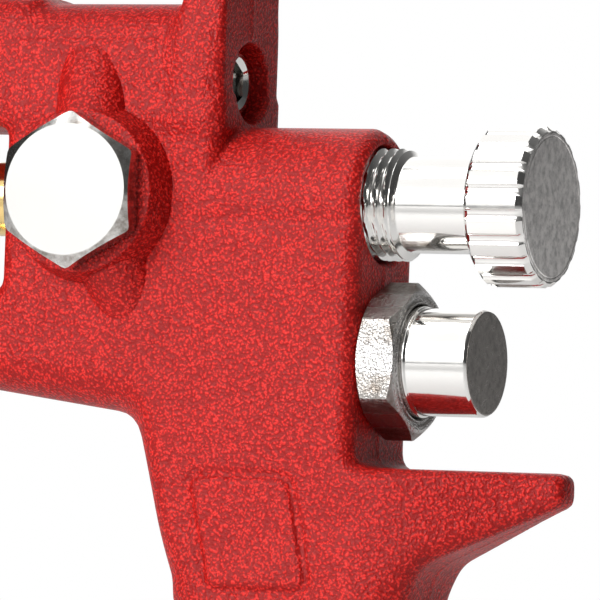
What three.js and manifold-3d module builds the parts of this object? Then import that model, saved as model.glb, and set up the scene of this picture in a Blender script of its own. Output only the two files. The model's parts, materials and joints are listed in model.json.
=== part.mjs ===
// Gravity-feed spray gun with a cast body, built as an assembly of separate pieces. Millimetres.
// The gun's own datum is the point where the fluid needle's axis meets the front face of the rear
// block: +X points to the rear, +Y to the gun's right side and +Z up. The group that is exported
// holds the gun shifted so that its origin is the peg point under the hanging hook.
import * as THREE from "three";
import { mergeVertices } from "three/addons/utils/BufferGeometryUtils.js";
import Module from "manifold-3d";

const wasm = await Module();
wasm.setup();

// ---------------------------------------------------------------- driving dimensions
const GAP = 0.3; // clearance left between neighbouring pieces
const HALF = 9.3; // half thickness of the casting
const BLOCK_L = 48.5; // rear block, front face to rear face
const TAIL_Z = -32.4; // top of the tail spur, and the rear block's foot
const TAIL_TIP_X = 74.2;
const BAR_TOP = 24.5; // top of the bridge bar over the trigger gap
const BAR_FOOT = 8.6;
const PASSAGE_Z = 14.8; // upper air passage through the bar
const VALVE_Z = -19.2; // air valve axis under the needle
const LEAN = THREE.MathUtils.degToRad(16); // the handle leans back, going down
const HANDLE_L = 104; // from the valve axis to the handle's foot, along the lean
const HANDLE_X = 31.2; // where the handle's centreline crosses the valve axis
const HEAD_REAR = -31; // head section, behind and in front of the trigger gap
const HEAD_FRONT = -51;
const NECK_X = -40.4; // cup connection
const NECK_TOP = 37;
const HOOK_X = 17.3; // centre of the hook's bend
const HOOK_Z = 36;
const HOOK_R = 9.1; // centreline radius of the bend
const HOOK_T = 5.8; // thickness of the hook's bar
const PORT_X = 12.5; // side port, its boss and hexagon plug
const PORT_Z = 0.5;
const BOSS_R = 10;
const BOSS_H = 4.1;
const RIB_LEAN = THREE.MathUtils.degToRad(11.7); // the boss's ribs lean forward, going up
const RIB_SLOPE = THREE.MathUtils.degToRad(22); // and dip into the side as they leave the boss
const RIB_R = 4.8;
const RIB_L = 21; // a rib's length from the port's centre
const HEX_AF = 17; // spanner size of the plug, the valve nut and the inlet
const PIVOT_X = -22; // trigger pivot
const PIVOT_Z = 21;
const CONTACT_X = -19; // rear face of the trigger's web, where it meets sleeve and stem
const THREAD_R = 7; // fluid knob's M14 stem
const ROD_R = 5.9;
const KNOB_R = 9.85;
const KNOB_END = BLOCK_L + 21.9;
const KNOB_L = 8;
const NEEDLE_R = 1.5;
const NUT_L = 5.3; // valve cap nut, outside the block
const CAP_L = 14.1; // valve cap, outside the block
const SCREW_END = HOOK_X + HOOK_R + HOOK_T / 2 - 1.7; // passage plug, just inside the strap
const SCREW_L = 7;
const CUP_R = 43;
const CUP_WALL = 1.6;
const CUP_FOOT = 43; // top of the cup's stem collar
const CUP_TOP = 138;
const CAP_FLANGE_R = 12.8; // air cap's flange

// Places of the axes that pieces are turned about.
const ON_NEEDLE = [0, 0, 0];
const ON_VALVE = [0, 0, VALVE_Z];
const ON_PASSAGE = [0, 0, PASSAGE_Z];
const ON_PORT = [PORT_X, 0, PORT_Z];
const ON_NECK = [NECK_X, 0, 0];
const ON_PIVOT = [PIVOT_X, 0, PIVOT_Z];

// ---------------------------------------------------------------- geometry helpers
const TURN = {
  x: (g) => g.rotateZ(-Math.PI / 2),
  y: (g) => g,
  z: (g) => g.rotateX(Math.PI / 2),
};

// Triangles whose corners have run together, as at a pole, are left out.
function withoutSlivers(index) {
  const kept = [];
  for (let i = 0; i < index.length; i += 3) {
    const [a, b, c] = index.slice(i, i + 3);
    if (a !== b && b !== c && c !== a) kept.push(a, b, c);
  }
  return new Uint32Array(kept);
}

// A closed BufferGeometry as a manifold-3d solid, turned the right way out.
function solid(geometry) {
  const bare = geometry.index ? geometry.toNonIndexed() : geometry;
  const points = new THREE.BufferGeometry();
  points.setAttribute("position", bare.getAttribute("position"));
  const merged = mergeVertices(points, 1e-4);
  const make = (triVerts) =>
    new wasm.Manifold(
      new wasm.Mesh({
        numProp: 3,
        vertProperties: merged.attributes.position.array,
        triVerts,
      }),
    );
  const index = withoutSlivers(merged.index.array);
  const made = make(index);
  return made.volume() < 0 ? make(index.reverse()) : made;
}

// A manifold-3d solid back as a BufferGeometry with flat normals.
function geometryOf(made) {
  const mesh = made.getMesh();
  const geometry = new THREE.BufferGeometry();
  const position = new Float32Array(mesh.numVert * 3);
  for (let i = 0; i < mesh.numVert; i++)
    position.set(mesh.vertProperties.subarray(i * mesh.numProp, i * mesh.numProp + 3), 3 * i);
  geometry.setAttribute("position", new THREE.BufferAttribute(position, 3));
  geometry.setIndex(new THREE.BufferAttribute(mesh.triVerts, 1));
  geometry.computeVertexNormals();
  return geometry;
}

// Facets round a full turn: coarser than asked for, in fours so that boxes stay true to size.
const facets = (wanted) => Math.max(6, 4 * Math.round(wanted * 0.145));

// Turned solid about an axis: profile is [place along the axis, radius] from one end to the other.
function turned(axis, profile, segments = 32, at = [0, 0, 0]) {
  const outline = profile.map(([s, r]) => new THREE.Vector2(r, s));
  if (outline[0].x > 0) outline.unshift(new THREE.Vector2(0, outline[0].y));
  if (outline.at(-1).x > 0) outline.push(new THREE.Vector2(0, outline.at(-1).y));
  const geometry = TURN[axis](new THREE.LatheGeometry(outline, facets(segments)));
  return solid(geometry.translate(...at));
}

// Plain rod between two points.
function rod(from, to, radius, segments = 12) {
  const a = new THREE.Vector3(...from);
  const b = new THREE.Vector3(...to);
  const geometry = new THREE.CylinderGeometry(radius, radius, a.distanceTo(b), facets(segments));
  const turn = new THREE.Quaternion().setFromUnitVectors(
    new THREE.Vector3(0, 1, 0),
    b.clone().sub(a).normalize(),
  );
  return solid(geometry.applyQuaternion(turn).translate(...a.add(b).multiplyScalar(0.5)));
}

// Basis changes for extruded outlines: side outlines hold (X, Z), end outlines hold (Y, Z).
const SIDE = new THREE.Matrix4().makeBasis(
  new THREE.Vector3(1, 0, 0),
  new THREE.Vector3(0, 0, 1),
  new THREE.Vector3(0, -1, 0),
);
const END = new THREE.Matrix4().makeBasis(
  new THREE.Vector3(0, 1, 0),
  new THREE.Vector3(0, 0, 1),
  new THREE.Vector3(1, 0, 0),
);

function extruded(shape, depth, bevel, curveSegments = 8) {
  return new THREE.ExtrudeGeometry(shape, {
    depth: depth - 2 * bevel,
    bevelEnabled: bevel > 0,
    bevelSize: bevel,
    bevelThickness: bevel,
    bevelOffset: -bevel,
    bevelSegments: 1,
    curveSegments,
  }).translate(0, 0, bevel);
}

// A plate with a side outline, centred on the gun's middle plane.
function plate(shape, width, bevel = 0, curveSegments = 8) {
  const geometry = extruded(shape, width, bevel, curveSegments).translate(0, 0, -width / 2);
  return solid(geometry.applyMatrix4(SIDE));
}

// A bar with an end outline, from x0 to x1.
function bar(shape, x0, x1, bevel = 0) {
  return solid(extruded(shape, x1 - x0, bevel).applyMatrix4(END).translate(x0, 0, 0));
}

// Outline through corner points, each rounded by its own radius: [a, b, radius].
function rounded(corners) {
  const shape = new THREE.Shape();
  const n = corners.length;
  corners.forEach(([a, b, radius = 0], i) => {
    const here = new THREE.Vector2(a, b);
    const before = new THREE.Vector2(...corners[(i + n - 1) % n]).sub(here);
    const after = new THREE.Vector2(...corners[(i + 1) % n]).sub(here);
    const half = before.angleTo(after) / 2;
    const reach = radius / Math.tan(half);
    const enter = here.clone().addScaledVector(before.normalize(), reach);
    const leave = here.clone().addScaledVector(after.normalize(), reach);
    if (i === 0) shape.moveTo(enter.x, enter.y);
    else shape.lineTo(enter.x, enter.y);
    if (radius > 0) shape.quadraticCurveTo(a, b, leave.x, leave.y);
  });
  return shape;
}

const ring = (axis, outer, inner, segments = 32, at = [0, 0, 0]) =>
  turned(axis, outer, segments, at).subtract(turned(axis, inner, segments, at));

// Hexagon prism along an axis with the corners turned off at both ends, corners up and down.
function hexagon(axis, s0, s1, acrossFlats, at, ends = [true, true]) {
  const corner = acrossFlats / Math.sqrt(3);
  const prism = new THREE.CylinderGeometry(corner, corner, s1 - s0, 6);
  TURN[axis](prism.translate(0, (s0 + s1) / 2, 0));
  const face = acrossFlats / 2 - 0.1;
  const run = (corner - face) * 0.55;
  const cone = [
    [s0, ends[0] ? face : corner + 1],
    [s0 + run, corner + 0.01],
    [s1 - run, corner + 0.01],
    [s1, ends[1] ? face : corner + 1],
  ];
  return solid(prism.translate(...at)).intersect(turned(axis, cone, 36, at));
}

// Coil spring along X: a round wire wound about the axis through (0, 0, z).
class Coil extends THREE.Curve {
  constructor(x0, x1, radius, turns) {
    super();
    Object.assign(this, { x0, x1, radius, turns });
  }
  getPoint(t) {
    const angle = 2 * Math.PI * this.turns * t;
    return new THREE.Vector3(
      this.x0 + (this.x1 - this.x0) * t,
      this.radius * Math.cos(angle),
      this.radius * Math.sin(angle),
    );
  }
}

function spring(x0, x1, meanRadius, wire, turns, z) {
  const section = new THREE.Shape();
  for (let k = 0; k < 4; k++) {
    const angle = (Math.PI * k) / 2;
    const point = [wire * Math.cos(angle), wire * Math.sin(angle)];
    if (k === 0) section.moveTo(...point);
    else section.lineTo(...point);
  }
  const path = new Coil(x0 + wire, x1 - wire, meanRadius, turns);
  const options = { steps: turns * 8, bevelEnabled: false, extrudePath: path };
  return solid(new THREE.ExtrudeGeometry(section, options).translate(0, 0, z));
}

// A point along the handle's centreline, from where it crosses the valve axis.
const grip = (along, across = 0) => [
  HANDLE_X + along * Math.sin(LEAN) + across * Math.cos(LEAN),
  0,
  VALVE_Z - along * Math.cos(LEAN) + across * Math.sin(LEAN),
];

// Turns and places something built about +Z, at the origin, so that it points down the handle.
const downHandle = (geometry, along) =>
  geometry.rotateX(Math.PI).rotateY(-LEAN).translate(...grip(along));

// ---------------------------------------------------------------- materials
const finish = (color, roughness, metalness) =>
  new THREE.MeshStandardMaterial({ color, roughness, metalness });
const PAINT = finish(0xc4161c, 0.5, 0.1);
const NICKEL = finish(0xd9d6d0, 0.15, 1);
const POLISHED = finish(0xe2e2e0, 0.12, 1);
const BRASS = finish(0xc9a04a, 0.25, 1);
const STEEL = finish(0xb9bbbd, 0.25, 1);
const ALUMINIUM = finish(0xc4c6c8, 0.35, 1);
const SPRING_STEEL = finish(0x8b8d90, 0.35, 1);
const RUBBER = finish(0x161616, 0.7, 0);
const NYLON = finish(0xe9e7dc, 0.5, 0);
const BLACK_PLASTIC = finish(0x1a1a1b, 0.45, 0);

const gun = new THREE.Group();
function piece(name, material, made, group = gun) {
  const mesh = new THREE.Mesh(geometryOf(made), material);
  mesh.name = name;
  group.add(mesh);
  return mesh;
}

// ---------------------------------------------------------------- cast body
const HOOK_IN = HOOK_R - HOOK_T / 2;
const HOOK_OUT = HOOK_R + HOOK_T / 2;

function rearBlock() {
  const arch = new THREE.Shape();
  arch.moveTo(-HALF, VALVE_Z);
  arch.lineTo(HALF, VALVE_Z);
  arch.lineTo(HALF, 0);
  arch.absarc(0, 0, HALF, 0, Math.PI);
  arch.lineTo(-HALF, VALVE_Z);
  const lower = rounded([
    [0, BAR_FOOT + 4, 0],
    [0, -11.5, 1.6],
    [-6, -12.5, 3],
    [-6.5, -23.6, 3],
    [17.7, -26.7, 5],
    [24.5, -49.2, 0],
    [28, -61.4, 0],
    [58.3, -61.4, 0],
    [54.9, -49.6, 4],
    [57.6, -44, 5],
    [71, -37.6, 3],
    [TAIL_TIP_X, -36.2, 1.6],
    [TAIL_TIP_X, TAIL_Z, 1.5],
    [BLOCK_L, TAIL_Z, 0],
    [BLOCK_L, -2, 0],
    [HOOK_X + HOOK_OUT, -2, 0],
    [HOOK_X + HOOK_OUT, BAR_FOOT + 4, 0],
  ]);
  // Seen from above, the tail narrows from the block's full width to a blunt point.
  const plan = new THREE.Shape();
  plan.moveTo(-30, -HALF);
  plan.lineTo(BLOCK_L + 1, -HALF);
  plan.quadraticCurveTo(BLOCK_L + 18, -HALF + 1.5, TAIL_TIP_X + 0.5, -2.2);
  plan.lineTo(TAIL_TIP_X + 0.5, 2.2);
  plan.quadraticCurveTo(BLOCK_L + 18, HALF - 1.5, BLOCK_L + 1, HALF);
  plan.lineTo(-30, HALF);
  plan.closePath();
  const column = new THREE.ExtrudeGeometry(plan, { depth: 80, bevelEnabled: false });
  const slab = plate(lower, 2 * HALF, 0.9, 6).intersect(solid(column.translate(0, 0, -70)));
  return bar(arch, 0, BLOCK_L, 0.8).add(slab);
}

function bridgeAndHook() {
  const section = rounded([
    [-HALF, BAR_FOOT, 2],
    [HALF, BAR_FOOT, 2],
    [HALF, BAR_TOP, 6],
    [-HALF, BAR_TOP, 6],
  ]);
  const beam = bar(section, HEAD_FRONT, BLOCK_L - 17.7, 0.5);
  // Rise from the bar up to the cup's neck.
  const rise = new THREE.Shape();
  rise.moveTo(2, BAR_TOP - 3);
  rise.lineTo(2, BAR_TOP - 0.2);
  rise.quadraticCurveTo(NECK_X + 20, BAR_TOP + 1, NECK_X + 8, NECK_TOP - 4);
  rise.lineTo(HEAD_FRONT + 2, NECK_TOP - 8);
  rise.lineTo(HEAD_FRONT, BAR_FOOT);
  rise.closePath();
  // Hook: an upright strap that bends forward over the bar.
  const strap = new THREE.Shape();
  const outX = HOOK_X + HOOK_OUT;
  const inX = HOOK_X + HOOK_IN;
  strap.moveTo(outX, BAR_FOOT);
  strap.lineTo(outX, HOOK_Z);
  strap.absarc(HOOK_X, HOOK_Z, HOOK_OUT, 0, Math.PI * 0.82);
  strap.lineTo(
    HOOK_X + (HOOK_IN + 0.6) * Math.cos(Math.PI * 0.86),
    HOOK_Z + (HOOK_IN + 0.6) * Math.sin(Math.PI * 0.86),
  );
  strap.absarc(HOOK_X, HOOK_Z, HOOK_IN, Math.PI * 0.8, 0, true);
  strap.lineTo(inX, BAR_TOP + 4);
  strap.quadraticCurveTo(inX, BAR_TOP, inX - 4, BAR_TOP - 0.6);
  strap.lineTo(inX - 8, BAR_FOOT);
  strap.closePath();
  return beam.add(plate(rise, 15, 1.2, 6)).add(plate(strap, 16.8, 0.8, 10));
}

function handle() {
  const oval = new THREE.Shape();
  const steps = 24;
  for (let k = 0; k < steps; k++) {
    const angle = (2 * Math.PI * k) / steps;
    const power = (v) => Math.sign(v) * Math.abs(v) ** 0.62;
    const point = [14.6 * power(Math.cos(angle)), 9.6 * power(Math.sin(angle))];
    if (k === 0) oval.moveTo(...point);
    else oval.lineTo(...point);
  }
  const options = {
    depth: HANDLE_L - 22 - 1.5,
    bevelSize: 1.5,
    bevelThickness: 1.5,
    bevelOffset: -1.5,
    bevelSegments: 2,
  };
  return solid(downHandle(new THREE.ExtrudeGeometry(oval, options), 22));
}

function head() {
  const barrel = turned("x", [
    [HEAD_FRONT - 7, 12],
    [HEAD_FRONT - 6.4, 13],
    [HEAD_FRONT, 13],
    [HEAD_FRONT, 15.4],
    [HEAD_FRONT + 6, 15.4],
    [HEAD_REAR - 4, 13.2],
    [HEAD_REAR - 1, 11.5],
    [HEAD_REAR, 9],
  ]);
  const neck = turned("z", [
    [BAR_FOOT, 10.5],
    [NECK_TOP - 1, 10.5],
    [NECK_TOP, 10],
  ], 32, [NECK_X, 0, 0]);
  return barrel.add(neck);
}

const RIB_X = PORT_X + 1.6; // the ribs' line passes a little behind the port's centre
const RIB_START = 8; // where a rib's crest is level with the boss's face
// A point of a rib's middle line: so far from the port, up (way 1) or down (way -1).
const ribPoint = (along, way) => [
  RIB_X - way * along * Math.sin(RIB_LEAN),
  -(HALF + BOSS_H - (along - RIB_START) * Math.tan(RIB_SLOPE) - RIB_R / Math.cos(RIB_SLOPE)),
  PORT_Z + way * along * Math.cos(RIB_LEAN),
];

function portBoss() {
  let made = turned("y", [
    [-(HALF + BOSS_H), BOSS_R],
    [-(HALF + 1.2), BOSS_R + 0.3],
    [-HALF, BOSS_R + 1.1],
    [-HALF + 1, BOSS_R + 1.1],
  ], 36, ON_PORT);
  // Each rib is a round bar, cut level with the boss's face.
  const inside = turned("y", [[-(HALF + BOSS_H), 40], [0, 40]], 24, ON_PORT);
  for (const way of [1, -1])
    made = made.add(rod(ribPoint(3, way), ribPoint(RIB_L, way), RIB_R, 24).intersect(inside));
  return made;
}

function labelPad() {
  const outline = rounded([
    [28, -34.6, 1.4],
    [40.6, -34.6, 1.4],
    [43.8, -47.4, 1.4],
    [31.1, -47.4, 1.4],
  ]);
  return plate(outline, 2 * (HALF + 0.4), 0.2, 4);
}

// Drillings and threaded holes: axis, from, to, radius and the place of the axis.
const PAST_REAR = BLOCK_L + 2;
const DRILLED = [
  ["x", 5, 31, 4.5, ON_NEEDLE], // needle sleeve and the spring in front of the thread
  ["x", -3, 6, 3.9, ON_NEEDLE], // seat of the needle's bush
  ["x", 30.5, PAST_REAR, THREAD_R + GAP, ON_NEEDLE], // fluid knob's thread
  ["x", BLOCK_L - 1.2, PAST_REAR, THREAD_R + 0.8, ON_NEEDLE], // its countersunk mouth
  ["x", 22, PAST_REAR, 6.3, ON_VALVE], // valve chamber and its nut's thread
  ["x", 2.5, 23, 4, ON_VALVE], // air space in front of the valve's seat
  ["x", -9, 3, 3.3, ON_VALVE], // gland of the valve's stem
  ["x", HEAD_REAR + 4, BLOCK_L, 3, ON_PASSAGE], // air passage through the bar
  ["x", SCREW_END - SCREW_L - 1, SCREW_END - 2, 4.6, ON_PASSAGE], // the passage plug's thread
  ["x", SCREW_END - 3, BLOCK_L, 5.1, ON_PASSAGE], // way in for the plug
  ["y", -(HALF + BOSS_H) - 1, -5.4, 6.1, ON_PORT], // side port
  ["x", HEAD_FRONT - 9, HEAD_FRONT + 1, 4.9, ON_NEEDLE], // fluid nozzle's thread
  ["x", HEAD_FRONT, HEAD_REAR - 8, 3.6, ON_NEEDLE], // paint chamber
  ["x", HEAD_REAR - 9, HEAD_REAR, 1.8, ON_NEEDLE], // needle, through the head's wall
  ["x", HEAD_REAR - 5, HEAD_REAR + 1, 3.7, ON_NEEDLE], // packing and its nut
  ["z", 0, NECK_TOP + 1, 4.3, ON_NECK], // paint's way down from the cup
  ["z", NECK_TOP - 11, NECK_TOP + 1, 8.3, ON_NECK], // cup stem's thread
  ["y", -12, 12, 2.3, ON_PIVOT], // trigger's pivot
];

function bores() {
  const parts = DRILLED.map(([axis, from, to, radius, at]) =>
    turned(axis, [[from, radius], [to, radius]], 26, at),
  );
  // Air goes down beside the neck and forward to the ring of holes round the nozzle.
  const bend = [HEAD_REAR - 2, -7, PASSAGE_Z - 1.5];
  parts.push(rod([HEAD_REAR + 5, 0, PASSAGE_Z], bend, 1.9));
  parts.push(rod([HEAD_REAR, -7, PASSAGE_Z - 1], [HEAD_FRONT - 10, -7, 6.5], 1.9));
  // The inlet's channel up the handle, and the thread at its foot.
  parts.push(rod(grip(0), grip(HANDLE_L + 2), 3.5, 16));
  parts.push(rod(grip(HANDLE_L - 11), grip(HANDLE_L + 2), 6.6, 24));
  // The two drillings from the side port, up to the passage and down to the valve chamber.
  for (const way of [1, -1]) parts.push(rod(ribPoint(4, way), ribPoint(RIB_L - 1.5, way), 1.7));
  return parts;
}

function castBody() {
  let made = rearBlock().add(bridgeAndHook()).add(handle()).add(head()).add(portBoss());
  made = made.add(labelPad());
  for (const bore of bores()) made = made.subtract(bore);
  return made;
}

piece("gun_body", PAINT, castBody());

// ---------------------------------------------------------------- plugs and air valve housing
const PORT_FACE = -(HALF + BOSS_H);

piece(
  "side_port_plug",
  NICKEL,
  hexagon("y", PORT_FACE - 3.3, PORT_FACE - GAP / 2, HEX_AF, ON_PORT, [true, false])
    .add(turned("y", [[PORT_FACE - 1, 5.8], [-9.8, 5.8]], 24, ON_PORT))
    .subtract(turned("y", [[-11.5, 4], [-9, 4]], 20, ON_PORT)),
);
piece(
  "passage_plug",
  NICKEL,
  turned("x", [
    [SCREW_END - SCREW_L, 4.1],
    [SCREW_END - SCREW_L + 0.4, 4.3],
    [SCREW_END - 0.4, 4.3],
    [SCREW_END, 4],
  ], 24, ON_PASSAGE).subtract(hexSocket(SCREW_END - 4, SCREW_END + 1, 5, PASSAGE_Z)),
);

function hexSocket(x0, x1, acrossFlats, z) {
  const corner = acrossFlats / Math.sqrt(3);
  const geometry = new THREE.CylinderGeometry(corner, corner, x1 - x0, 6);
  return solid(TURN.x(geometry).translate((x0 + x1) / 2, 0, z));
}

piece(
  "valve_cap_nut",
  NICKEL,
  hexagon("x", BLOCK_L + GAP / 2, BLOCK_L + NUT_L, HEX_AF, ON_VALVE)
    .add(turned("x", [[BLOCK_L - 9, 6], [BLOCK_L + 1, 6]], 24, ON_VALVE))
    .subtract(turned("x", [[BLOCK_L - 10, 4.8], [BLOCK_L + 7, 4.8]], 24, ON_VALVE))
    .subtract(turned("x", [[BLOCK_L + NUT_L - 1, 7.4], [BLOCK_L + 7, 7.4]], 32, ON_VALVE)),
);
piece(
  "valve_cap",
  NICKEL,
  turned("x", [
    [BLOCK_L - 5, 4.5],
    [BLOCK_L + NUT_L - 0.8, 4.5],
    [BLOCK_L + NUT_L - 0.8, 6.9],
    [BLOCK_L + NUT_L + 0.5, 6.9],
    [BLOCK_L + NUT_L + 0.7, 6.65],
    [BLOCK_L + CAP_L - 0.7, 6.65],
    [BLOCK_L + CAP_L, 6.4],
  ], 32, ON_VALVE).subtract(turned("x", [[BLOCK_L - 6, 2.4], [BLOCK_L + 5, 2.4]], 16, ON_VALVE)),
);
piece(
  "valve_seat",
  BRASS,
  ring("x", [[22.2, 6], [25, 6]], [[21, 2.9], [26, 2.9]], 24, ON_VALVE),
);
piece(
  "stem_gland",
  BRASS,
  hexagon("x", -9.6, -6.7, 8, ON_VALVE)
    .add(turned("x", [[-8, 3], [1.5, 3]], 20, ON_VALVE))
    .subtract(turned("x", [[-11, 1.8], [4, 1.8]], 16, ON_VALVE)),
);
piece(
  "needle_bush",
  BRASS,
  turned("x", [[-8.6, 4.2], [-8.1, 4.65], [-0.2, 4.65], [-0.2, 3.7], [4.7, 3.7]], 36).subtract(
    turned("x", [[-10, 2.8], [6, 2.8]], 20),
  ),
);

// ---------------------------------------------------------------- air inlet at the handle's foot
function inlet() {
  const hex = new THREE.CylinderGeometry(HEX_AF / Math.sqrt(3), HEX_AF / Math.sqrt(3), 5, 6);
  const profile = [
    [0, -10], [6.3, -10], [6.3, 0.2], [8.6, 0.2], [8.6, 5], [6.2, 5.2], [6.2, 6.4],
    [6.6, 6.8], [6.6, 16.4], [6, 17.2], [4, 17.2], [4, 12], [3.4, 10], [3.4, -10],
  ];
  const outline = profile.slice(1).map(([r, s]) => new THREE.Vector2(r, s));
  outline.push(outline[0].clone());
  const body = new THREE.LatheGeometry(outline, 20).rotateX(Math.PI / 2);
  hex.rotateX(Math.PI / 2).translate(0, 0, 0.2 + 2.5);
  const hole = new THREE.CylinderGeometry(5, 5, 30, 16).rotateX(Math.PI / 2);
  const place = (g) => solid(downHandle(g, HANDLE_L));
  return place(body).add(place(hex).subtract(place(hole)));
}
piece("air_inlet", NICKEL, inlet());

// ---------------------------------------------------------------- trigger, its pivot, its travel
const WEB = 2.4;
function trigger() {
  const front = CONTACT_X - WEB;
  const outline = new THREE.Shape();
  outline.moveTo(PIVOT_X - 6, PIVOT_Z);
  outline.absarc(PIVOT_X, PIVOT_Z, 6, Math.PI, 0, true);
  outline.lineTo(PIVOT_X + 5.4, 8);
  outline.lineTo(CONTACT_X + 4.6, -8);
  outline.quadraticCurveTo(CONTACT_X + 4, -30, CONTACT_X - 9, -52);
  outline.quadraticCurveTo(CONTACT_X - 14, -60, CONTACT_X - 16, -68);
  outline.quadraticCurveTo(CONTACT_X - 19, -71, CONTACT_X - 21.5, -68);
  outline.quadraticCurveTo(front - 12, -42, front - 0.5, -27);
  outline.lineTo(front, -22);
  outline.lineTo(front, 6);
  outline.quadraticCurveTo(front, 9, PIVOT_X - 5, 13);
  outline.closePath();
  const inside = new THREE.Shape();
  inside.moveTo(PIVOT_X - 9, PIVOT_Z + 9);
  inside.lineTo(PIVOT_X + 9, PIVOT_Z + 9);
  inside.lineTo(CONTACT_X + 8, -8);
  inside.lineTo(CONTACT_X + 8, -90);
  inside.lineTo(CONTACT_X - 18.6, -90);
  inside.lineTo(CONTACT_X - 18.6, -67);
  inside.quadraticCurveTo(CONTACT_X - 11.6, -42, CONTACT_X - 0.4, -27.4);
  inside.lineTo(CONTACT_X, -24.6);
  inside.lineTo(CONTACT_X, 6.4);
  inside.lineTo(CONTACT_X - 9, 11);
  inside.closePath();
  // Across the gun the lever narrows below the valve.
  const across = (half, low) => {
    const shape = new THREE.Shape();
    shape.moveTo(-half, PIVOT_Z + 12);
    shape.lineTo(-half, -24);
    shape.lineTo(-half + low, -74);
    shape.lineTo(half - low, -74);
    shape.lineTo(half, -24);
    shape.lineTo(half, PIVOT_Z + 12);
    shape.closePath();
    return bar(shape, -60, 20);
  };
  return plate(outline, 23.4, 0.6, 6)
    .intersect(across(11.6, 3))
    .subtract(plate(inside, 30, 0, 6).intersect(across(9.9, 3)))
    .subtract(turned("y", [[-15, 2.6], [15, 2.6]], 20, [PIVOT_X, 0, PIVOT_Z]))
    .subtract(plate(rounded([[-30, -4.5], [0, -4.5], [0, 4.5], [-30, 4.5]]), 4));
}
piece("trigger", POLISHED, trigger());
piece(
  "pivot_screw",
  STEEL,
  turned("y", [[-13.8, 3], [-13.2, 4.2], [-11.9, 4.2], [-11.9, 2], [10.5, 2]], 24, ON_PIVOT)
    .subtract(plate(rounded([[PIVOT_X - 6, PIVOT_Z - 0.5], [PIVOT_X + 6, PIVOT_Z - 0.5],
      [PIVOT_X + 6, PIVOT_Z + 0.5], [PIVOT_X - 6, PIVOT_Z + 0.5]]), 40)
      .subtract(turned("y", [[-13.1, 9], [30, 9]], 12, ON_PIVOT))),
);
piece(
  "pivot_nut",
  STEEL,
  turned("y", [[11.9, 4.2], [13.2, 4.2], [13.8, 3]], 24, ON_PIVOT)
    .add(turned("y", [[10.8, 1.9], [12.5, 1.9]], 16, ON_PIVOT)),
);

// ---------------------------------------------------------------- fluid needle and air valve stem
const START = CONTACT_X + GAP;
piece(
  "needle_sleeve",
  STEEL,
  turned("x", [
    [START, 1.8], [START + 0.35, 2.4], [START + 1, 2.6], [20, 2.6], [20, 4.1], [22, 4.1],
  ], 24).subtract(turned("x", [[START - 1, NEEDLE_R + 0.1], [24, NEEDLE_R + 0.1]], 16)),
);
piece(
  "fluid_needle",
  STEEL,
  turned("x", [
    [-71.6, 0], [-65.5, NEEDLE_R - 0.5], [-64, NEEDLE_R - 0.1], [-63, NEEDLE_R],
    [53, NEEDLE_R], [53.5, 1],
  ], 16),
);
piece(
  "valve_stem",
  STEEL,
  turned("x", [
    [START, 0.3], [START + 0.5, 1], [START + 1.2, 1.5], [27.2, 1.5], [27.2, 4.6], [29, 4.6],
    [29, 1.6], [40, 1.6], [40.5, 1.2],
  ], 20, ON_VALVE),
);
piece(
  "valve_seal",
  NYLON,
  ring("x", [[25.2, 4.2], [25.6, 4.8], [27, 4.8]], [[25, 1.65], [28, 1.65]], 24, ON_VALVE),
);
piece("needle_spring", SPRING_STEEL, spring(22.3, 49.7, 3.1, 0.45, 9, 0));
piece("valve_spring", SPRING_STEEL, spring(29.3, BLOCK_L - 5.3, 3.2, 0.5, 6, VALVE_Z));

// ---------------------------------------------------------------- fluid control
piece(
  "spring_seat",
  BRASS,
  ring("x", [[50, 3.7], [52, 3.7]], [[49, 2], [53, 2]], 24),
);
piece(
  "knob_stem",
  NICKEL,
  ring(
    "x",
    [[36, 6.6], [36.5, THREAD_R], [BLOCK_L + 3.2, THREAD_R], [BLOCK_L + 3.8, ROD_R],
      [KNOB_END - KNOB_L + 4, ROD_R]],
    [[35, 4.1], [BLOCK_L + 12, 4.1]],
    32,
  ),
);
function fluidKnob() {
  const back = KNOB_END - KNOB_L;
  let made = turned("x", [
    [back, KNOB_R - 0.5], [back + 0.4, KNOB_R], [KNOB_END - 0.9, KNOB_R], [KNOB_END, KNOB_R - 0.8],
  ], 60).subtract(turned("x", [[back - 1, ROD_R + 0.1], [back + 4.1, ROD_R + 0.1]], 32));
  const flutes = 20;
  for (let k = 0; k < flutes; k++) {
    const angle = (2 * Math.PI * (k + 0.5)) / flutes;
    const y = (KNOB_R + 0.35) * Math.cos(angle);
    const z = (KNOB_R + 0.35) * Math.sin(angle);
    made = made.subtract(rod([back - 1, y, z], [KNOB_END - 0.5, y, z], 0.7, 6));
  }
  return made;
}
piece("fluid_knob", NICKEL, fluidKnob());

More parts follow.
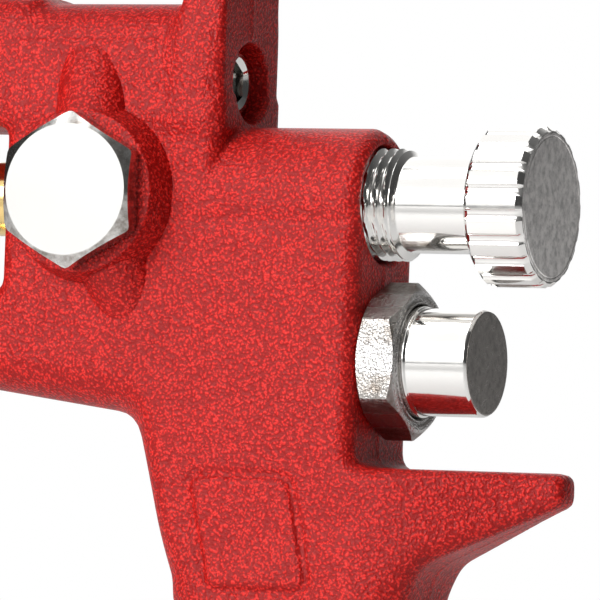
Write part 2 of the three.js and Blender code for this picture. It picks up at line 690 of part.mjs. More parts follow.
// ---------------------------------------------------------------- spray head
piece(
  "packing_nut",
  BRASS,
  hexagon("x", HEAD_REAR + 0.3, HEAD_REAR + 3.3, 8, [0, 0, 0])
    .add(turned("x", [[HEAD_REAR - 3, 3.4], [HEAD_REAR + 1, 3.4]], 20))
    .subtract(turned("x", [[HEAD_REAR - 4, 1.7], [HEAD_REAR + 4, 1.7]], 12)),
);
piece(
  "needle_packing",
  NYLON,
  ring("x", [[HEAD_REAR - 4.8, 3.3], [HEAD_REAR - 3.3, 3.3]],
    [[HEAD_REAR - 6, 1.6], [HEAD_REAR - 2, 1.6]], 20),
);
const NOZZLE_TIP = HEAD_FRONT - 19;
piece(
  "fluid_nozzle",
  STEEL,
  turned("x", [
    [NOZZLE_TIP, 1.6], [NOZZLE_TIP + 4, 2.3], [NOZZLE_TIP + 8, 5.2], [HEAD_FRONT - 10.3, 5.6],
    [HEAD_FRONT - 10.3, 9.4], [HEAD_FRONT - 7.3, 9.4], [HEAD_FRONT - 7.3, 4.6],
    [HEAD_FRONT + 0.6, 4.6],
  ], 32)
    .subtract(turned("x", [
      [NOZZLE_TIP - 1, 0.7], [NOZZLE_TIP + 1.2, 0.7], [NOZZLE_TIP + 6, 2.6],
      [HEAD_FRONT + 2, 2.6],
    ], 20))
    .subtract(airHoles(7.4, 0.8, 8, HEAD_FRONT - 12, HEAD_FRONT - 6)),
);

// Drillings parallel to the needle, spaced on a circle.
function airHoles(circle, radius, count, x0, x1) {
  let made;
  for (let k = 0; k < count; k++) {
    const angle = (2 * Math.PI * (k + 0.5)) / count;
    const y = circle * Math.cos(angle);
    const z = circle * Math.sin(angle);
    const hole = rod([x0, y, z], [x1, y, z], radius, 8);
    made = made ? made.add(hole) : hole;
  }
  return made;
}

const CAP_BACK = HEAD_FRONT - 7.6;
function airCap() {
  const shell = ring(
    "x",
    [
      [CAP_BACK - 12.6, 4.6], [CAP_BACK - 11.2, 8.6], [CAP_BACK - 10.4, 10.6],
      [CAP_BACK - 4.3, 10.8], [CAP_BACK - 4.3, CAP_FLANGE_R], [CAP_BACK - 0.3, CAP_FLANGE_R],
    ],
    [
      [CAP_BACK - 13, 1.9], [CAP_BACK - 11.3, 1.9], [CAP_BACK - 9.4, 6.4],
      [CAP_BACK - 6.5, 9.6], [CAP_BACK + 1, 9.7],
    ],
    36,
  );
  // Two horns carry the shaping air in from the sides of the fan.
  const outline = rounded([
    [CAP_BACK - 9, 3, 0],
    [CAP_BACK - 10, 6.2, 0.4],
    [CAP_BACK - 17, 8.2, 0.8],
    [CAP_BACK - 17, 10.4, 0.8],
    [CAP_BACK - 9, 10.4, 0],
  ]);
  let made = shell;
  for (const side of [1, -1]) {
    const horn = extruded(outline, 6.4, 0.5, 4).translate(0, 0, -3.2);
    const turn = side > 0 ? 0 : Math.PI;
    const matrix = new THREE.Matrix4().makeRotationX(turn);
    made = made.add(solid(horn.applyMatrix4(matrix)));
    made = made.subtract(
      rod([CAP_BACK - 15, side * 6, 0], [CAP_BACK - 13.2, side * 9.6, 0], 0.55, 8),
    );
  }
  return made.subtract(turned("x", [[-98, 1.9], [CAP_BACK, 1.9]], 20))
    .subtract(airHoles(4, 0.35, 4, CAP_BACK - 14, CAP_BACK - 9));
}
piece("air_cap", BRASS, airCap());

function capRing() {
  const front = CAP_BACK - 6.5;
  const back = HEAD_FRONT - 0.4;
  let made = ring(
    "x",
    [[front, 13.2], [front + 1, 15], [front + 2, 15.6], [back - 0.8, 15.6], [back, 15]],
    [[front - 1, 11.2], [front + 1.5, 11.2], [front + 1.5, 13.3], [back + 1, 13.3]],
    48,
  );
  const notches = 12;
  for (let k = 0; k < notches; k++) {
    const angle = (2 * Math.PI * k) / notches;
    const y = 16.1 * Math.cos(angle);
    const z = 16.1 * Math.sin(angle);
    made = made.subtract(rod([front + 2.5, y, z], [back + 1, y, z], 0.95, 6));
  }
  return made;
}
piece("cap_ring", POLISHED, capRing());
piece(
  "ring_washer",
  NYLON,
  ring("x", [[CAP_BACK - 4.9, 12.9], [CAP_BACK - 4.4, 12.9]],
    [[CAP_BACK - 6, 11.3], [CAP_BACK - 4, 11.3]], 32),
);
piece(
  "air_baffle",
  NYLON,
  ring("x", [[CAP_BACK + 0.05, 12.2], [HEAD_FRONT - 7.2, 12.2]],
    [[HEAD_FRONT - 12, 9.8], [HEAD_FRONT - 5, 9.8]], 32),
);

// ---------------------------------------------------------------- cup
const CONE_TOP = CUP_FOOT + 20;
piece(
  "cup_gasket",
  NYLON,
  ring("z", [[NECK_TOP + 0.1, 10], [NECK_TOP + 1, 10]], [[NECK_TOP, 8.3], [NECK_TOP + 2, 8.3]],
    28, ON_NECK),
);
const STEM_AF = 21.4;
function cupStem() {
  return hexagon("z", NECK_TOP + 1.1, NECK_TOP + 6, STEM_AF, ON_NECK)
    .add(turned("z", [[NECK_TOP - 10, 7.6], [NECK_TOP - 9.4, 8], [NECK_TOP + 2, 8]], 28, ON_NECK))
    .subtract(turned("z", [[NECK_TOP - 12, 4.6], [NECK_TOP + 8, 4.6]], 24, ON_NECK));
}
piece("cup_stem", STEEL, cupStem());
piece(
  "cup",
  ALUMINIUM,
  turned("z", [
    [CUP_FOOT + 0.1, 9], [CUP_FOOT + 1.5, 10.4], [CUP_FOOT + 5, 15], [CONE_TOP - 3, CUP_R - 4.5],
    [CONE_TOP + 1.5, CUP_R - 0.8], [CONE_TOP + 5, CUP_R], [CUP_TOP, CUP_R],
  ], 48, ON_NECK).subtract(
    turned("z", [
      [CUP_FOOT - 1, 4.6], [CUP_FOOT + 2, 4.6], [CUP_FOOT + 4.4, 10],
      [CONE_TOP - 1, CUP_R - 5.6], [CONE_TOP + 3, CUP_R - CUP_WALL - 0.8],
      [CONE_TOP + 6, CUP_R - CUP_WALL], [CUP_TOP + 1, CUP_R - CUP_WALL],
    ], 48, ON_NECK),
  ),
);
function strainer() {
  const tube = ring(
    "z",
    [[NECK_TOP - 6, 4.1], [CUP_FOOT + 16, 3.4], [CUP_FOOT + 17, 3]],
    [[NECK_TOP - 7, 3.3], [CUP_FOOT + 15.4, 2.7]],
    16,
    ON_NECK,
  );
  let made = tube.add(ring("z", [[CUP_FOOT + 4.8, 6], [CUP_FOOT + 5.8, 6]],
    [[CUP_FOOT + 4, 3.2], [CUP_FOOT + 7, 3.2]], 20, ON_NECK));
  for (let level = 0; level < 3; level++) {
    const z = CUP_FOOT + 8 + level * 2.8;
    made = made.subtract(turned("x", [[-6, 0.8], [6, 0.8]], 8, [NECK_X, 0, z]));
    made = made.subtract(turned("y", [[-6, 0.8], [6, 0.8]], 8, [NECK_X, 0, z]));
  }
  return made;
}
piece("strainer", NYLON, strainer());

const LID_TOP = CUP_TOP + 5;
function lid() {
  let made = turned("z", [
    [CUP_TOP - 8, CUP_R + 2.2], [CUP_TOP + 3.4, CUP_R + 2.2], [LID_TOP, CUP_R + 0.8],
    [LID_TOP, CUP_R - 5], [LID_TOP - 1.6, CUP_R - 6],
  ], 60, ON_NECK).subtract(
    turned("z", [[CUP_TOP - 9, CUP_R + 0.4], [CUP_TOP + 1.4, CUP_R + 0.4]], 60, ON_NECK),
  );
  const grips = 16;
  for (let k = 0; k < grips; k++) {
    const angle = (2 * Math.PI * k) / grips;
    const x = NECK_X + (CUP_R + 4.2) * Math.cos(angle);
    const y = (CUP_R + 4.2) * Math.sin(angle);
    made = made.subtract(rod([x, y, CUP_TOP - 9], [x, y, CUP_TOP + 2], 3.1, 8));
  }
  return made
    .add(turned("z", [[LID_TOP - 3, 4], [LID_TOP + 2.2, 4], [LID_TOP + 2.6, 3.6]], 20, ON_NECK))
    .subtract(turned("z", [[CUP_TOP, 1.2], [LID_TOP + 5, 1.2]], 12, ON_NECK));
}
piece("cup_lid", BLACK_PLASTIC, lid());
piece(
  "lid_seal",
  RUBBER,
  ring("z", [[CUP_TOP + 0.2, CUP_R - 0.1], [CUP_TOP + 1.2, CUP_R - 0.1]],
    [[CUP_TOP - 1, CUP_R - 3], [CUP_TOP + 2, CUP_R - 3]], 48, ON_NECK),
);
piece(
  "vent_cap",
  BLACK_PLASTIC,
  ring("z", [[LID_TOP + 0.2, 6], [LID_TOP + 4.4, 6], [LID_TOP + 5, 5.4]],
    [[LID_TOP - 1, 4.4], [LID_TOP + 3.2, 4.4]], 24, ON_NECK)
    .subtract(turned("x", [[-9, 0.6], [9, 0.6]], 8, [NECK_X, 0, LID_TOP + 3.2])),
);

// ---------------------------------------------------------------- seals
piece(
  "knob_friction_ring",
  NYLON,
  ring("x", [[31, 6.9], [33, 6.9]], [[30, 4.6], [34, 4.6]], 24),
);
piece(
  "valve_nut_seal",
  RUBBER,
  ring("x", [[BLOCK_L - 11, 6.1], [BLOCK_L - 9.4, 6.1]], [[BLOCK_L - 12, 4.9], [BLOCK_L - 8, 4.9]],
    24, ON_VALVE),
);
piece(
  "stem_packing",
  RUBBER,
  ring("x", [[1.8, 2.9], [2.4, 2.9]], [[1, 1.7], [3, 1.7]], 20, ON_VALVE),
);

// The exported group's origin is the peg point, at the top of the hook's inner bend.
gun.position.set(-HOOK_X, 0, -(HOOK_Z + HOOK_IN));
const root = new THREE.Group();
root.add(gun);
export default root;
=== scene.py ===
# Gravity-feed spray gun: the pieces that show, their finishes, the light and the camera.
# Shapes are worked out in millimetres from the gun's datum, where the fluid needle's axis meets the
# front of the rear block: +X to the rear, +Y to the gun's right side, +Z up.
import json
import math

import bmesh
import bpy
import numpy as np
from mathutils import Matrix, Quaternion, Vector


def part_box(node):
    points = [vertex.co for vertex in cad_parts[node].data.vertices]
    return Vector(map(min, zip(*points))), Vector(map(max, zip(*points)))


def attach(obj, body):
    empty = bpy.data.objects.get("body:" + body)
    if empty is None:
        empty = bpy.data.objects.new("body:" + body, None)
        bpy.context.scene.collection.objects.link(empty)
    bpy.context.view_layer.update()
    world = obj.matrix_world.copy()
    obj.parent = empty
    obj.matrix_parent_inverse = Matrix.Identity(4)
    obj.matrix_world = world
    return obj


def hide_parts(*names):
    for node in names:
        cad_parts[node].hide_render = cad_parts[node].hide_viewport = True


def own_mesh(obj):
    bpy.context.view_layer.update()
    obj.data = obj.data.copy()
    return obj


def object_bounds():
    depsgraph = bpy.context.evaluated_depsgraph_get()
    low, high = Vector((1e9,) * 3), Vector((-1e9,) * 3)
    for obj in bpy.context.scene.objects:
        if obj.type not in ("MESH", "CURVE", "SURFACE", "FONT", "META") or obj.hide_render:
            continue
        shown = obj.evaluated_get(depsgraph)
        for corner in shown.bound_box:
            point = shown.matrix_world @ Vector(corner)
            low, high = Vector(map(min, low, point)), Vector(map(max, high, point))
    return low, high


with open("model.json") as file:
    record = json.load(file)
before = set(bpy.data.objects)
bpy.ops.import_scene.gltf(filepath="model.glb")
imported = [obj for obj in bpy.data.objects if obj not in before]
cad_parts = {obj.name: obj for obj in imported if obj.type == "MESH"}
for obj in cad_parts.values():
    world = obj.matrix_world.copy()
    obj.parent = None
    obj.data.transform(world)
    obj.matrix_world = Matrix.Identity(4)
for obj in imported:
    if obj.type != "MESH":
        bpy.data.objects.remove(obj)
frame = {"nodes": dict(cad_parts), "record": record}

cad_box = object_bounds()
MM = 0.001
TAU = 2 * math.pi

# ---------------------------------------------------------------- sizes of the gun
HALF = 9.3
BLOCK_L = 48.5
VALVE_Z = -19.2
PASSAGE_Z = 14.8
TAIL_Z = -32.4
TAIL_TIP = 74.05
BAR_TOP = 24.5
BAR_FOOT = 8.6
LEAN = math.radians(16)
HANDLE_L = 104.0
HANDLE_X = 31.2
HEAD_REAR = -31.0
HEAD_FRONT = -51.0
NECK_X = -40.4
NECK_TOP = 37.0
HOOK_X, HOOK_Z, HOOK_R, HOOK_T = 17.3, 36.0, 9.1, 5.8
PORT_X, PORT_Z = 12.5, 0.5
BOSS_H = 4.1
PIVOT_X, PIVOT_Z = -22.0, 21.0
CONTACT_X = -19.0
KNOB_END = 70.4
KNOB_L = 8.0
KNOB_R = 9.85
CUP_R = 43.0
CUP_TOP = 138.0

knob_lo, knob_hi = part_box("fluid_knob")
DATUM = np.array([
    knob_hi[0] / MM - KNOB_END,
    (knob_lo[1] + knob_hi[1]) / 2 / MM,
    (knob_lo[2] + knob_hi[2]) / 2 / MM,
])


# ---------------------------------------------------------------- meshes from arrays
def build(name, points, faces, material, body, stands_for=(), sharp=28.0, merge=2e-7):
    """A mesh piece from an (n, 3) array in datum millimetres and an (m, 4) array of corners, welded,
    turned outwards and placed in the frame."""
    mesh = bpy.data.meshes.new(name)
    place = ((points + DATUM) * MM).astype(np.float32)
    mesh.vertices.add(len(place))
    mesh.vertices.foreach_set("co", place.ravel())
    mesh.loops.add(faces.size)
    mesh.loops.foreach_set("vertex_index", faces.astype(np.int32).ravel())
    mesh.polygons.add(len(faces))
    mesh.polygons.foreach_set("loop_start", np.arange(len(faces), dtype=np.int32) * faces.shape[1])
    mesh.update(calc_edges=True)
    weld = bmesh.new()
    weld.from_mesh(mesh)
    bmesh.ops.remove_doubles(weld, verts=weld.verts, dist=merge)
    if weld.calc_volume(signed=True) < 0:
        bmesh.ops.reverse_faces(weld, faces=weld.faces)
    weld.to_mesh(mesh)
    weld.free()
    mesh.polygons.foreach_set("use_smooth", np.ones(len(mesh.polygons), dtype=bool))
    mesh.set_sharp_from_angle(angle=math.radians(sharp))
    piece = bpy.data.objects.new(name, mesh)
    bpy.context.scene.collection.objects.link(piece)
    mesh.materials.append(material)
    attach(piece, body)
    if stands_for:
        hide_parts(*stands_for)
    return piece


def grid_faces(rows, columns, close_rows=False, close_columns=True):
    """Corner numbers of the quads of a rows by columns grid whose last column, and last row if asked,
    joins the first."""
    i = np.arange(rows if close_rows else rows - 1)
    j = np.arange(columns if close_columns else columns - 1)
    i, j = (a.ravel() for a in np.meshgrid(i, j, indexing="ij"))
    down, right = (i + 1) % rows, (j + 1) % columns
    return np.stack([i * columns + j, i * columns + right, down * columns + right,
                     down * columns + j], axis=1)


AXES = {
    "x": ((1, 0, 0), (0, 0, 1), (0, -1, 0)),
    "y": ((0, 1, 0), (0, 0, 1), (1, 0, 0)),
    "z": ((0, 0, 1), (1, 0, 0), (0, 1, 0)),
    "handle": ((math.sin(LEAN), 0, -math.cos(LEAN)), (math.cos(LEAN), 0, math.sin(LEAN)), (0, 1, 0)),
}


def round_axis(axis, centre, along, radius, angle):
    """Points at a distance along an axis, at a radius and an angle about it: centre + a * along
    + r * (u cos angle + v sin angle)."""
    a, u, v = (np.array(w, dtype=float) for w in AXES[axis])
    along, radius, angle = np.broadcast_arrays(along, radius, angle)
    out = np.array(centre) + along[..., None] * a
    return out + (radius * np.cos(angle))[..., None] * u + (radius * np.sin(angle))[..., None] * v


def softened(corners, closed=True, steps=5):
    """The outline through the corners (a, b, r), each cut back by its fillet and bridged by a
    parabola: (1-t)^2 enter + 2t(1-t) corner + t^2 leave."""
    out = []
    n = len(corners)
    t = np.linspace(0, 1, steps)[:, None]
    for i, corner in enumerate(corners):
        here = np.array(corner[:2], dtype=float)
        r = corner[2] if len(corner) > 2 else 0
        if r == 0 or (not closed and i in (0, n - 1)):
            out.append(here[None])
            continue
        back = np.array(corners[i - 1][:2]) - here
        on = np.array(corners[(i + 1) % n][:2]) - here
        back, on = back / np.linalg.norm(back), on / np.linalg.norm(on)
        half = math.acos(np.clip(back @ on, -1, 1)) / 2
        reach = r / math.tan(half)
        enter, leave = here + back * reach, here + on * reach
        out.append((1 - t) ** 2 * enter + 2 * t * (1 - t) * here + t ** 2 * leave)
    return np.concatenate(out)


def turned(name, axis, centre, corners, material, body, stands_for=(), turns=96, sharp=28.0,
           shape=None, closed=False):
    """A profile of (along, radius, fillet) corners turned about an axis. shape(along, radius, angle)
    gives the radius and place of each point instead, where the piece isn't round."""
    line = softened(corners, closed=closed)
    angle = np.arange(turns) * TAU / turns
    along, radius = line[:, :1], line[:, 1:]
    if shape:
        along, radius = shape(along, radius, angle[None])
    points = round_axis(axis, centre, along, radius, angle[None])
    faces = grid_faces(len(line), turns, close_rows=closed)
    return build(name, points.reshape(-1, 3), faces, material, body, stands_for, sharp)


def hex_radius(angle, across_flats, blunt=0.12):
    """Distance from the axis to a hexagon with a corner at angle 0: half the width over flats divided
    by the cosine of the angle from the nearest flat's middle, its corners blunted."""
    turn = np.mod(angle, TAU / 6) - TAU / 12
    return np.minimum(across_flats / 2 / np.cos(turn), across_flats / math.sqrt(3) - blunt)


def columns(name, axis, centre, rows, material, body, stands_for=(), slot=None, turns=144, sharp=16.0,
            closed=False):
    """A surface given as rows of (along, radius), each a number or a function of the angle."""
    angle = np.arange(turns) * TAU / turns
    value = lambda q: q(angle) if callable(q) else np.full(turns, float(q))
    along = np.stack([value(s) for s, _ in rows])
    radius = np.stack([value(r) for _, r in rows])
    points = round_axis(axis, centre, along, radius, angle[None])
    faces = grid_faces(len(rows), turns, close_rows=closed)
    return build(name, points.reshape(-1, 3), faces, material, body, stands_for, sharp)


def hex_rows(s0, s1, across_flats, face0=None, face1=None, slope=30.0):
    """Rows of a hexagon head from s0 to s1. Where a face radius is given, the corners are turned off
    on a cone that leaves that circle at the slope: along = end -/+ (radius - face) tan slope."""
    wide = lambda angle: hex_radius(angle, across_flats)
    lean = math.tan(math.radians(slope))
    rows = []
    if face0 is None:
        rows += [(s0, wide)]
    else:
        rows += [(s0, face0), (lambda a: s0 + (wide(a) - face0) * lean, wide)]
    if face1 is None:
        rows += [(s1, wide)]
    else:
        rows += [(lambda a: s1 - (wide(a) - face1) * lean, wide), (s1, face1)]
    return rows


def wire(name, path, radius, material, body, stands_for=(), sides=10):
    """A round wire along a path of points: at each, a circle across the path's direction."""
    on = np.gradient(path, axis=0)
    on /= np.linalg.norm(on, axis=1, keepdims=True)
    side = np.cross(on, [1.0, 0.0, 0.0])
    side /= np.linalg.norm(side, axis=1, keepdims=True)
    up = np.cross(on, side)
    angle = (np.arange(sides) * TAU / sides)[None, :, None]
    thick = np.full(len(path), radius)
    thick[[0, -1]] = 0
    points = path[:, None] + thick[:, None, None] * (
        np.cos(angle) * side[:, None] + np.sin(angle) * up[:, None])
    return build(name, points.reshape(-1, 3), grid_faces(len(path), sides), material, body, stands_for,
                 60)


# ---------------------------------------------------------------- shapes as distance fields
def outline_distance(line, u, v):
    """Signed distance to a closed outline: the least distance to its edges, negative inside, where an
    odd number of edges is crossed going along u."""
    least = np.full(np.broadcast(u, v).shape, np.inf)
    inside = np.zeros(least.shape, dtype=bool)
    for (a, b), (c, d) in zip(line, np.roll(line, -1, axis=0)):
        du, dv = c - a, d - b
        length = du * du + dv * dv
        if length < 1e-12:
            continue
        t = np.clip(((u - a) * du + (v - b) * dv) / length, 0, 1)
        least = np.minimum(least, (u - a - t * du) ** 2 + (v - b - t * dv) ** 2)
        if dv != 0:
            crossing = (v > min(b, d)) & (v <= max(b, d))
            inside ^= crossing & (u < a + (v - b) * du / dv)
    return np.where(inside, -1, 1) * np.sqrt(least)


def both(a, b, r):
    """The part inside both fields, its edge rounded by r."""
    a, b = a + r, b + r
    return np.minimum(np.maximum(a, b), 0) + np.hypot(np.maximum(a, 0), np.maximum(b, 0)) - r


def join(a, b, k):
    """Union with a fillet of about k: min(a, b) - max(k - |a - b|, 0)^2 / 4k."""
    return np.minimum(a, b) - np.maximum(k - np.abs(a - b), 0) ** 2 / (4 * k)


def cut(a, b, k=0.35):
    """a without b, the edge softened by k."""
    return -join(-a, b, k)


def ease(t):
    """Smooth step: 3t^2 - 2t^3 between 0 and 1."""
    t = np.clip(t, 0, 1)
    return t * t * (3 - 2 * t)


def rod_field(u, v, s, radius, s0, s1, r=0.0):
    """A rod of that radius where u, v lie across it and s along it."""
    return both(np.hypot(u, v) - radius, np.maximum(s0 - s, s - s1), r)


def capsule(x, y, z, a, b, radius):
    """Distance to the line from a to b, less the radius."""
    a, b = np.array(a, dtype=float), np.array(b, dtype=float)
    d = b - a
    t = ((x - a[0]) * d[0] + (y - a[1]) * d[1] + (z - a[2]) * d[2]) / (d @ d)
    t = np.clip(t, 0, 1)
    return np.sqrt((x - a[0] - t * d[0]) ** 2 + (y - a[1] - t * d[1]) ** 2
                   + (z - a[2] - t * d[2]) ** 2) - radius


def crossings(low, high, at_low, at_high):
    """Place where a field changes sign between two grid points, by straight-line rule."""
    t = at_low / np.where(at_low == at_high, 1, at_low - at_high)
    return low + np.clip(t, 0, 1) * (high - low)


def skin(field, xs, ys, zs, polish=3):
    """The surface where a field is zero, as points and quads. Each grid cell that the surface crosses
    gets one point, the mean of where its edges are crossed; each crossed edge gets the quad of its
    four cells. Then the points move down the field's slope until it is zero: p - f grad f / |grad f|^2."""
    f = field(xs[:, None, None], ys[None, :, None], zs[None, None, :])
    f = np.ascontiguousarray(np.broadcast_to(f, (len(xs), len(ys), len(zs)))).astype(np.float64)
    inside = f < 0
    shape = tuple(n - 1 for n in f.shape)
    total = np.zeros(shape + (3,), dtype=np.float32)
    count = np.zeros(shape, dtype=np.int8)
    coords = (xs, ys, zs)
    for axis in range(3):
        lower = [slice(None)] * 3
        upper = [slice(None)] * 3
        lower[axis], upper[axis] = slice(None, -1), slice(1, None)
        changed = inside[tuple(lower)] != inside[tuple(upper)]
        i = np.nonzero(changed)
        j = list(i)
        j[axis] = i[axis] + 1
        where = [c[k] for c, k in zip(coords, i)]
        where[axis] = crossings(coords[axis][i[axis]], coords[axis][j[axis]], f[i], f[tuple(j)])
        where = np.stack(where, axis=1)
        others = [a for a in range(3) if a != axis]
        for da in (0, 1):
            for db in (0, 1):
                cell = list(i)
                cell[others[0]] = i[others[0]] - da
                cell[others[1]] = i[others[1]] - db
                fits = np.all([(c >= 0) & (c < n) for c, n in zip(cell, shape)], axis=0)
                cell = tuple(c[fits] for c in cell)
                np.add.at(total, cell, where[fits])
                np.add.at(count, cell, 1)
    used = count > 0
    number = np.full(shape, -1, dtype=np.int64)
    number[used] = np.arange(used.sum())
    points = total[used].astype(float) / count[used][:, None]
    quads = []
    for axis in range(3):
        b, c = [(1, 2), (2, 0), (0, 1)][axis]
        lower = [slice(None)] * 3
        upper = [slice(None)] * 3
        lower[axis], upper[axis] = slice(None, -1), slice(1, None)
        low_in, high_in = inside[tuple(lower)], inside[tuple(upper)]
        for state, turned_back in ((low_in & ~high_in, False), (~low_in & high_in, True)):
            i = np.nonzero(state)
            keep = (i[b] > 0) & (i[c] > 0) & (i[b] < f.shape[b] - 1) & (i[c] < f.shape[c] - 1)
            i = [k[keep] for k in i]
            corners = []
            for db, dc in ((0, 0), (1, 0), (1, 1), (0, 1)):
                cell = list(i)
                cell[b], cell[c] = i[b] - db, i[c] - dc
                corners.append(number[tuple(cell)])
            corners = np.stack(corners, axis=1)
            quads.append(corners[:, ::-1] if turned_back else corners)
    step = 0.05
    furthest = 0.3
    for _ in range(polish):
        x, y, z = points.T
        value = field(x, y, z)
        slope = np.stack([
            field(x + step, y, z) - field(x - step, y, z),
            field(x, y + step, z) - field(x, y - step, z),
            field(x, y, z + step) - field(x, y, z - step)], axis=1) / (2 * step)
        steep = np.maximum((slope ** 2).sum(axis=1), 0.25)
        move = -(value / steep)[:, None] * slope
        points = points + np.clip(move, -furthest, furthest)
    return points, np.concatenate(quads)


def stations(*spans):
    """Grid places along one axis: (from, to, spacing) spans joined end to end."""
    parts = [np.linspace(a, b, max(2, round((b - a) / step) + 1))[:-1] for a, b, step in spans]
    return np.concatenate(parts + [np.array([spans[-1][1]])])


# ---------------------------------------------------------------- finishes
def material(name):
    """A new material with its nodes, its links and its Principled shader."""
    made = bpy.data.materials.new(name)
    made.use_nodes = True
    nodes, links = made.node_tree.nodes, made.node_tree.links
    return made, nodes, links, nodes["Principled BSDF"]


def node(nodes, kind, **values):
    """A node of that kind with its settings and input values set."""
    made = nodes.new(kind)
    for key, value in values.items():
        if hasattr(made, key):
            setattr(made, key, value)
        else:
            made.inputs[key.replace("_", " ")].default_value = value
    return made


def ramp(nodes, links, source, stops):
    """Colours or greys along a value."""
    made = nodes.new("ShaderNodeValToRGB")
    points = made.color_ramp.elements
    while len(points) < len(stops):
        points.new(0.5)
    for point, (place, colour) in zip(points, stops):
        point.position = place
        point.color = (*colour, 1) if len(colour) == 3 else (colour[0],) * 3 + (1,)
    links.new(source, made.inputs["Fac"])
    return made.outputs["Color"]


def grain(nodes, links, scale, detail=3.0, rough=0.55, stretch=(1, 1, 1)):
    """Noise on Object coordinates, stretched along chosen axes."""
    where = nodes.new("ShaderNodeTexCoord")
    mapping = nodes.new("ShaderNodeMapping")
    mapping.inputs["Scale"].default_value = stretch
    links.new(where.outputs["Object"], mapping.inputs["Vector"])
    noise = node(nodes, "ShaderNodeTexNoise", Scale=scale, Detail=detail, Roughness=rough)
    links.new(mapping.outputs["Vector"], noise.inputs["Vector"])
    return noise.outputs["Fac"]


def bump(nodes, links, height, shader, strength, distance, under=None):
    """Bump from a height, on top of another bump where one is given."""
    made = node(nodes, "ShaderNodeBump", Strength=strength, Distance=distance)
    links.new(height, made.inputs["Height"])
    if under is not None:
        links.new(under, made.inputs["Normal"])
    links.new(made.outputs["Normal"], shader.inputs["Normal"])
    return made.outputs["Normal"]


BEADS_PER_METRE = 2500.0
BEAD_DEPTH = 0.00015
PEEL_DEPTH = 0.0004


def wrinkle_paint():
    """Red wrinkle enamel: beads about 0.4 mm across, bent a little by noise, on a slow orange peel,
    painted paler on their tops as painted highlight and darker between as painted shade."""
    made, nodes, links, shader = material("wrinkle_red")
    where = nodes.new("ShaderNodeTexCoord")
    beads = node(nodes, "ShaderNodeTexVoronoi", Scale=BEADS_PER_METRE, Randomness=1.0)
    beads.feature = "SMOOTH_F1"
    beads.inputs["Smoothness"].default_value = 0.6
    bent = nodes.new("ShaderNodeVectorMath")
    bent.operation = "MULTIPLY_ADD"
    warp = node(nodes, "ShaderNodeTexNoise", Scale=900.0, Detail=2.0)
    links.new(where.outputs["Object"], warp.inputs["Vector"])
    links.new(warp.outputs["Color"], bent.inputs[0])
    bent.inputs[1].default_value = (0.0007, 0.0007, 0.0007)
    links.new(where.outputs["Object"], bent.inputs[2])
    links.new(bent.outputs["Vector"], beads.inputs["Vector"])
    fine = grain(nodes, links, 3600.0, 3.0, 0.6)
    slow = grain(nodes, links, 120.0, 3.0, 0.5)
    height = node(nodes, "ShaderNodeMath", operation="MULTIPLY_ADD")
    links.new(beads.outputs["Distance"], height.inputs[0])
    height.inputs[1].default_value = -0.9
    links.new(fine, height.inputs[2])
    # Colour from the beads' height: painted shade darkens the crevices between them, and painted highlight
    # pales their tops.
    colour = ramp(nodes, links, height.outputs[0], [
        (0.04, (0.30, 0.003, 0.002)), (0.22, (0.66, 0.015, 0.010)), (0.45, (0.80, 0.034, 0.027))])
    shade = nodes.new("ShaderNodeMix")
    shade.data_type = "RGBA"
    shade.blend_type = "MULTIPLY"
    shade.inputs["Factor"].default_value = 0.35
    links.new(colour, shade.inputs["A"])
    links.new(ramp(nodes, links, slow, [(0.3, (0.72,)), (0.7, (1.0,))]), shade.inputs["B"])
    links.new(shade.outputs["Result"], shader.inputs["Base Color"])
    links.new(ramp(nodes, links, fine, [(0.3, (0.30,)), (0.75, (0.46,))]), shader.inputs["Roughness"])
    shader.inputs["Specular IOR Level"].default_value = 0.26
    under = bump(nodes, links, height.outputs[0], shader, 1.0, BEAD_DEPTH)
    bump(nodes, links, slow, shader, 0.2, PEEL_DEPTH, under)
    return made


def plated(name, colour, rough=(0.05, 0.16), peel=0.12, stretch=(1, 1, 1)):
    """Bright plating: a slight orange peel, wiping marks in the gloss and a breath of tarnish."""
    made, nodes, links, shader = material(name)
    marks = grain(nodes, links, 420.0, 4.0, 0.6, stretch)
    cloud = grain(nodes, links, 60.0, 3.0, 0.55)
    dark = tuple(c * 0.93 for c in colour)
    links.new(ramp(nodes, links, cloud, [(0.3, dark), (0.65, colour)]), shader.inputs["Base Color"])
    links.new(ramp(nodes, links, marks, [(0.3, (rough[0],)), (0.75, (rough[1],))]),
              shader.inputs["Roughness"])
    shader.inputs["Metallic"].default_value = 1.0
    under = bump(nodes, links, cloud, shader, peel, 0.0004)
    bump(nodes, links, marks, shader, 0.05, 0.0001, under)
    return made


